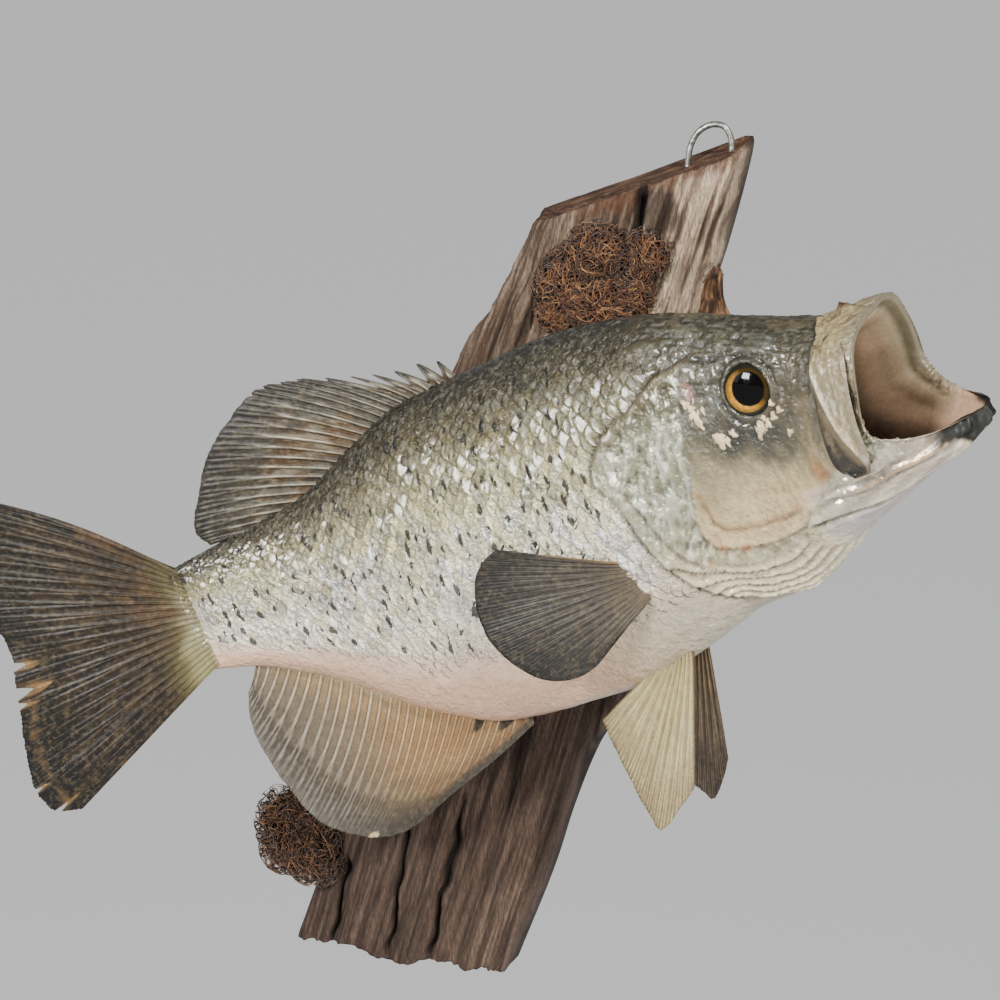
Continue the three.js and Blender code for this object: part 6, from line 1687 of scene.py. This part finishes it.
# ============================================================ put together
skin, skin_pts, skin_quads, skin_tris = make_skin()
wear(skin, "trunk", "tail_stalk", "head", "lower_jaw", "gill_cover_right", "gill_cover_left", slot="skin", mat=skin_mat)
tree = BVHTree.FromPolygons([Vector(p) for p in (skin_pts * 0.001).tolist()], skin_quads.tolist() + skin_tris.tolist())
for ob in make_scales():
    wear(ob, slot="skin", mat=scale_mat)
make_eye("glass_eye_right", "eye_right", -1)
make_eye("glass_eye_left", "eye_left", 1)
make_maxilla("upper_jaw_bone_right", "maxilla_right", -1)
make_maxilla("upper_jaw_bone_left", "maxilla_left", 1)
make_fins()
make_flakes(tree)
slab, wood_front = make_wood(tree)
make_chip()
fibres("moss_mat_upper", [((12, -26.5, 74), (12, 5.5, 15), 4), ((25, -26.5, 88), (13, 6.5, 12), 4), ((26, -26.5, 70), (17, 6.0, 13), 5), ((9, -26.5, 64), (9, 4.5, 7), 1.3),
                          ((44, -26, 88), (9, 4.0, 10), 1.7), ((39, -26.5, 74), (9, 4.0, 11), 1.6)], 2600, 301, 8.5, 1.0, "moss_upper", tree, radius=(0.20, 0.46))
fibres("moss_clump_lower", [((-108, -22, -160), (16, 12, 17), 3), ((-98, -22, -170), (14, 12, 15), 3), ((-112, -22, -172), (11, 9, 10), 1), ((-100, -22, -151), (11, 10, 10), 1)],
       1900, 331, 8.5, 0.75, "moss_lower", tree, radius=(0.20, 0.44))
make_wire()

# ---------- floor, lights and camera
def plain(name, hexa, rough):
    m = bpy.data.materials.new(name)
    m.use_nodes = True
    p = m.node_tree.nodes["Principled BSDF"]
    p.inputs["Base Color"].default_value = (*lin(hexa), 1)
    p.inputs["Roughness"].default_value = rough
    return m


me = bpy.data.meshes.new("studio_floor")
ring = [(70 * math.cos(a * math.pi / 32), 70 * math.sin(a * math.pi / 32), -0.95) for a in range(64)]
me.from_pydata(ring, [], [list(range(64))])
floor = bpy.data.objects.new("studio_floor", me)
bpy.context.scene.collection.objects.link(floor)
me.materials.append(plain("studio_floor", "#cbcdd0", 0.85))

world = bpy.data.worlds.new("studio")
world.use_nodes = True
world.node_tree.nodes["Background"].inputs["Color"].default_value = (*lin("#e6e7e6"), 1)
world.node_tree.nodes["Background"].inputs["Strength"].default_value = 0.36
bpy.context.scene.world = world


def light(name, at, aim, size, watts, colour):
    d = bpy.data.lights.new(name, "AREA")
    d.shape = "RECTANGLE"
    d.size, d.size_y = size
    d.energy = watts
    d.color = colour
    o = bpy.data.objects.new(name, d)
    bpy.context.scene.collection.objects.link(o)
    o.location = at
    o.rotation_mode = "QUATERNION"
    o.rotation_quaternion = (Vector(aim) - Vector(at)).to_track_quat("-Z", "Y")
    return o


def far_light(name, frm, watts, spread, colour):
    d = bpy.data.lights.new(name, "SUN")
    d.energy = watts
    d.angle = rad(spread)
    d.color = colour
    o = bpy.data.objects.new(name, d)
    bpy.context.scene.collection.objects.link(o)
    o.location = frm
    o.rotation_mode = "QUATERNION"
    o.rotation_quaternion = Vector(frm).to_track_quat("Z", "Y")


far_light("window_key", (1.0, -0.95, 1.0), 4.0, 7.0, (1.0, 0.97, 0.93))
light("window_low", (1.25, -0.75, -0.10), (0, -0.05, -0.02), (0.4, 0.5), 8.0, (1.0, 0.96, 0.92))
light("soft_box", (-0.44, -1.15, 0.42), (0, -0.06, 0), (0.30, 0.30), 20.0, (1.0, 0.99, 0.96))
light("room_fill", (-1.3, -1.2, 0.45), (0, -0.05, 0), (0.7, 0.7), 2.5, (0.93, 0.97, 1.0))

AZ, EL, DIST, WIDTH = rad(20.0), rad(14.0), 0.85, 0.372
target = Vector((0, -0.066, 0))
back = Vector((math.sin(AZ) * math.cos(EL), -math.cos(AZ) * math.cos(EL), math.sin(EL)))
cam = bpy.data.cameras.new("camera")
cam.sensor_width = 36.0
cam.lens = 36.0 * DIST / WIDTH
cam.clip_start, cam.clip_end = 0.05, 100
camera = bpy.data.objects.new("camera", cam)
bpy.context.scene.collection.objects.link(camera)
camera.location = target + back * DIST
camera.rotation_mode = "QUATERNION"
camera.rotation_quaternion = back.to_track_quat("Z", "Y")
bpy.context.scene.camera = camera

bpy.context.view_layer.update()
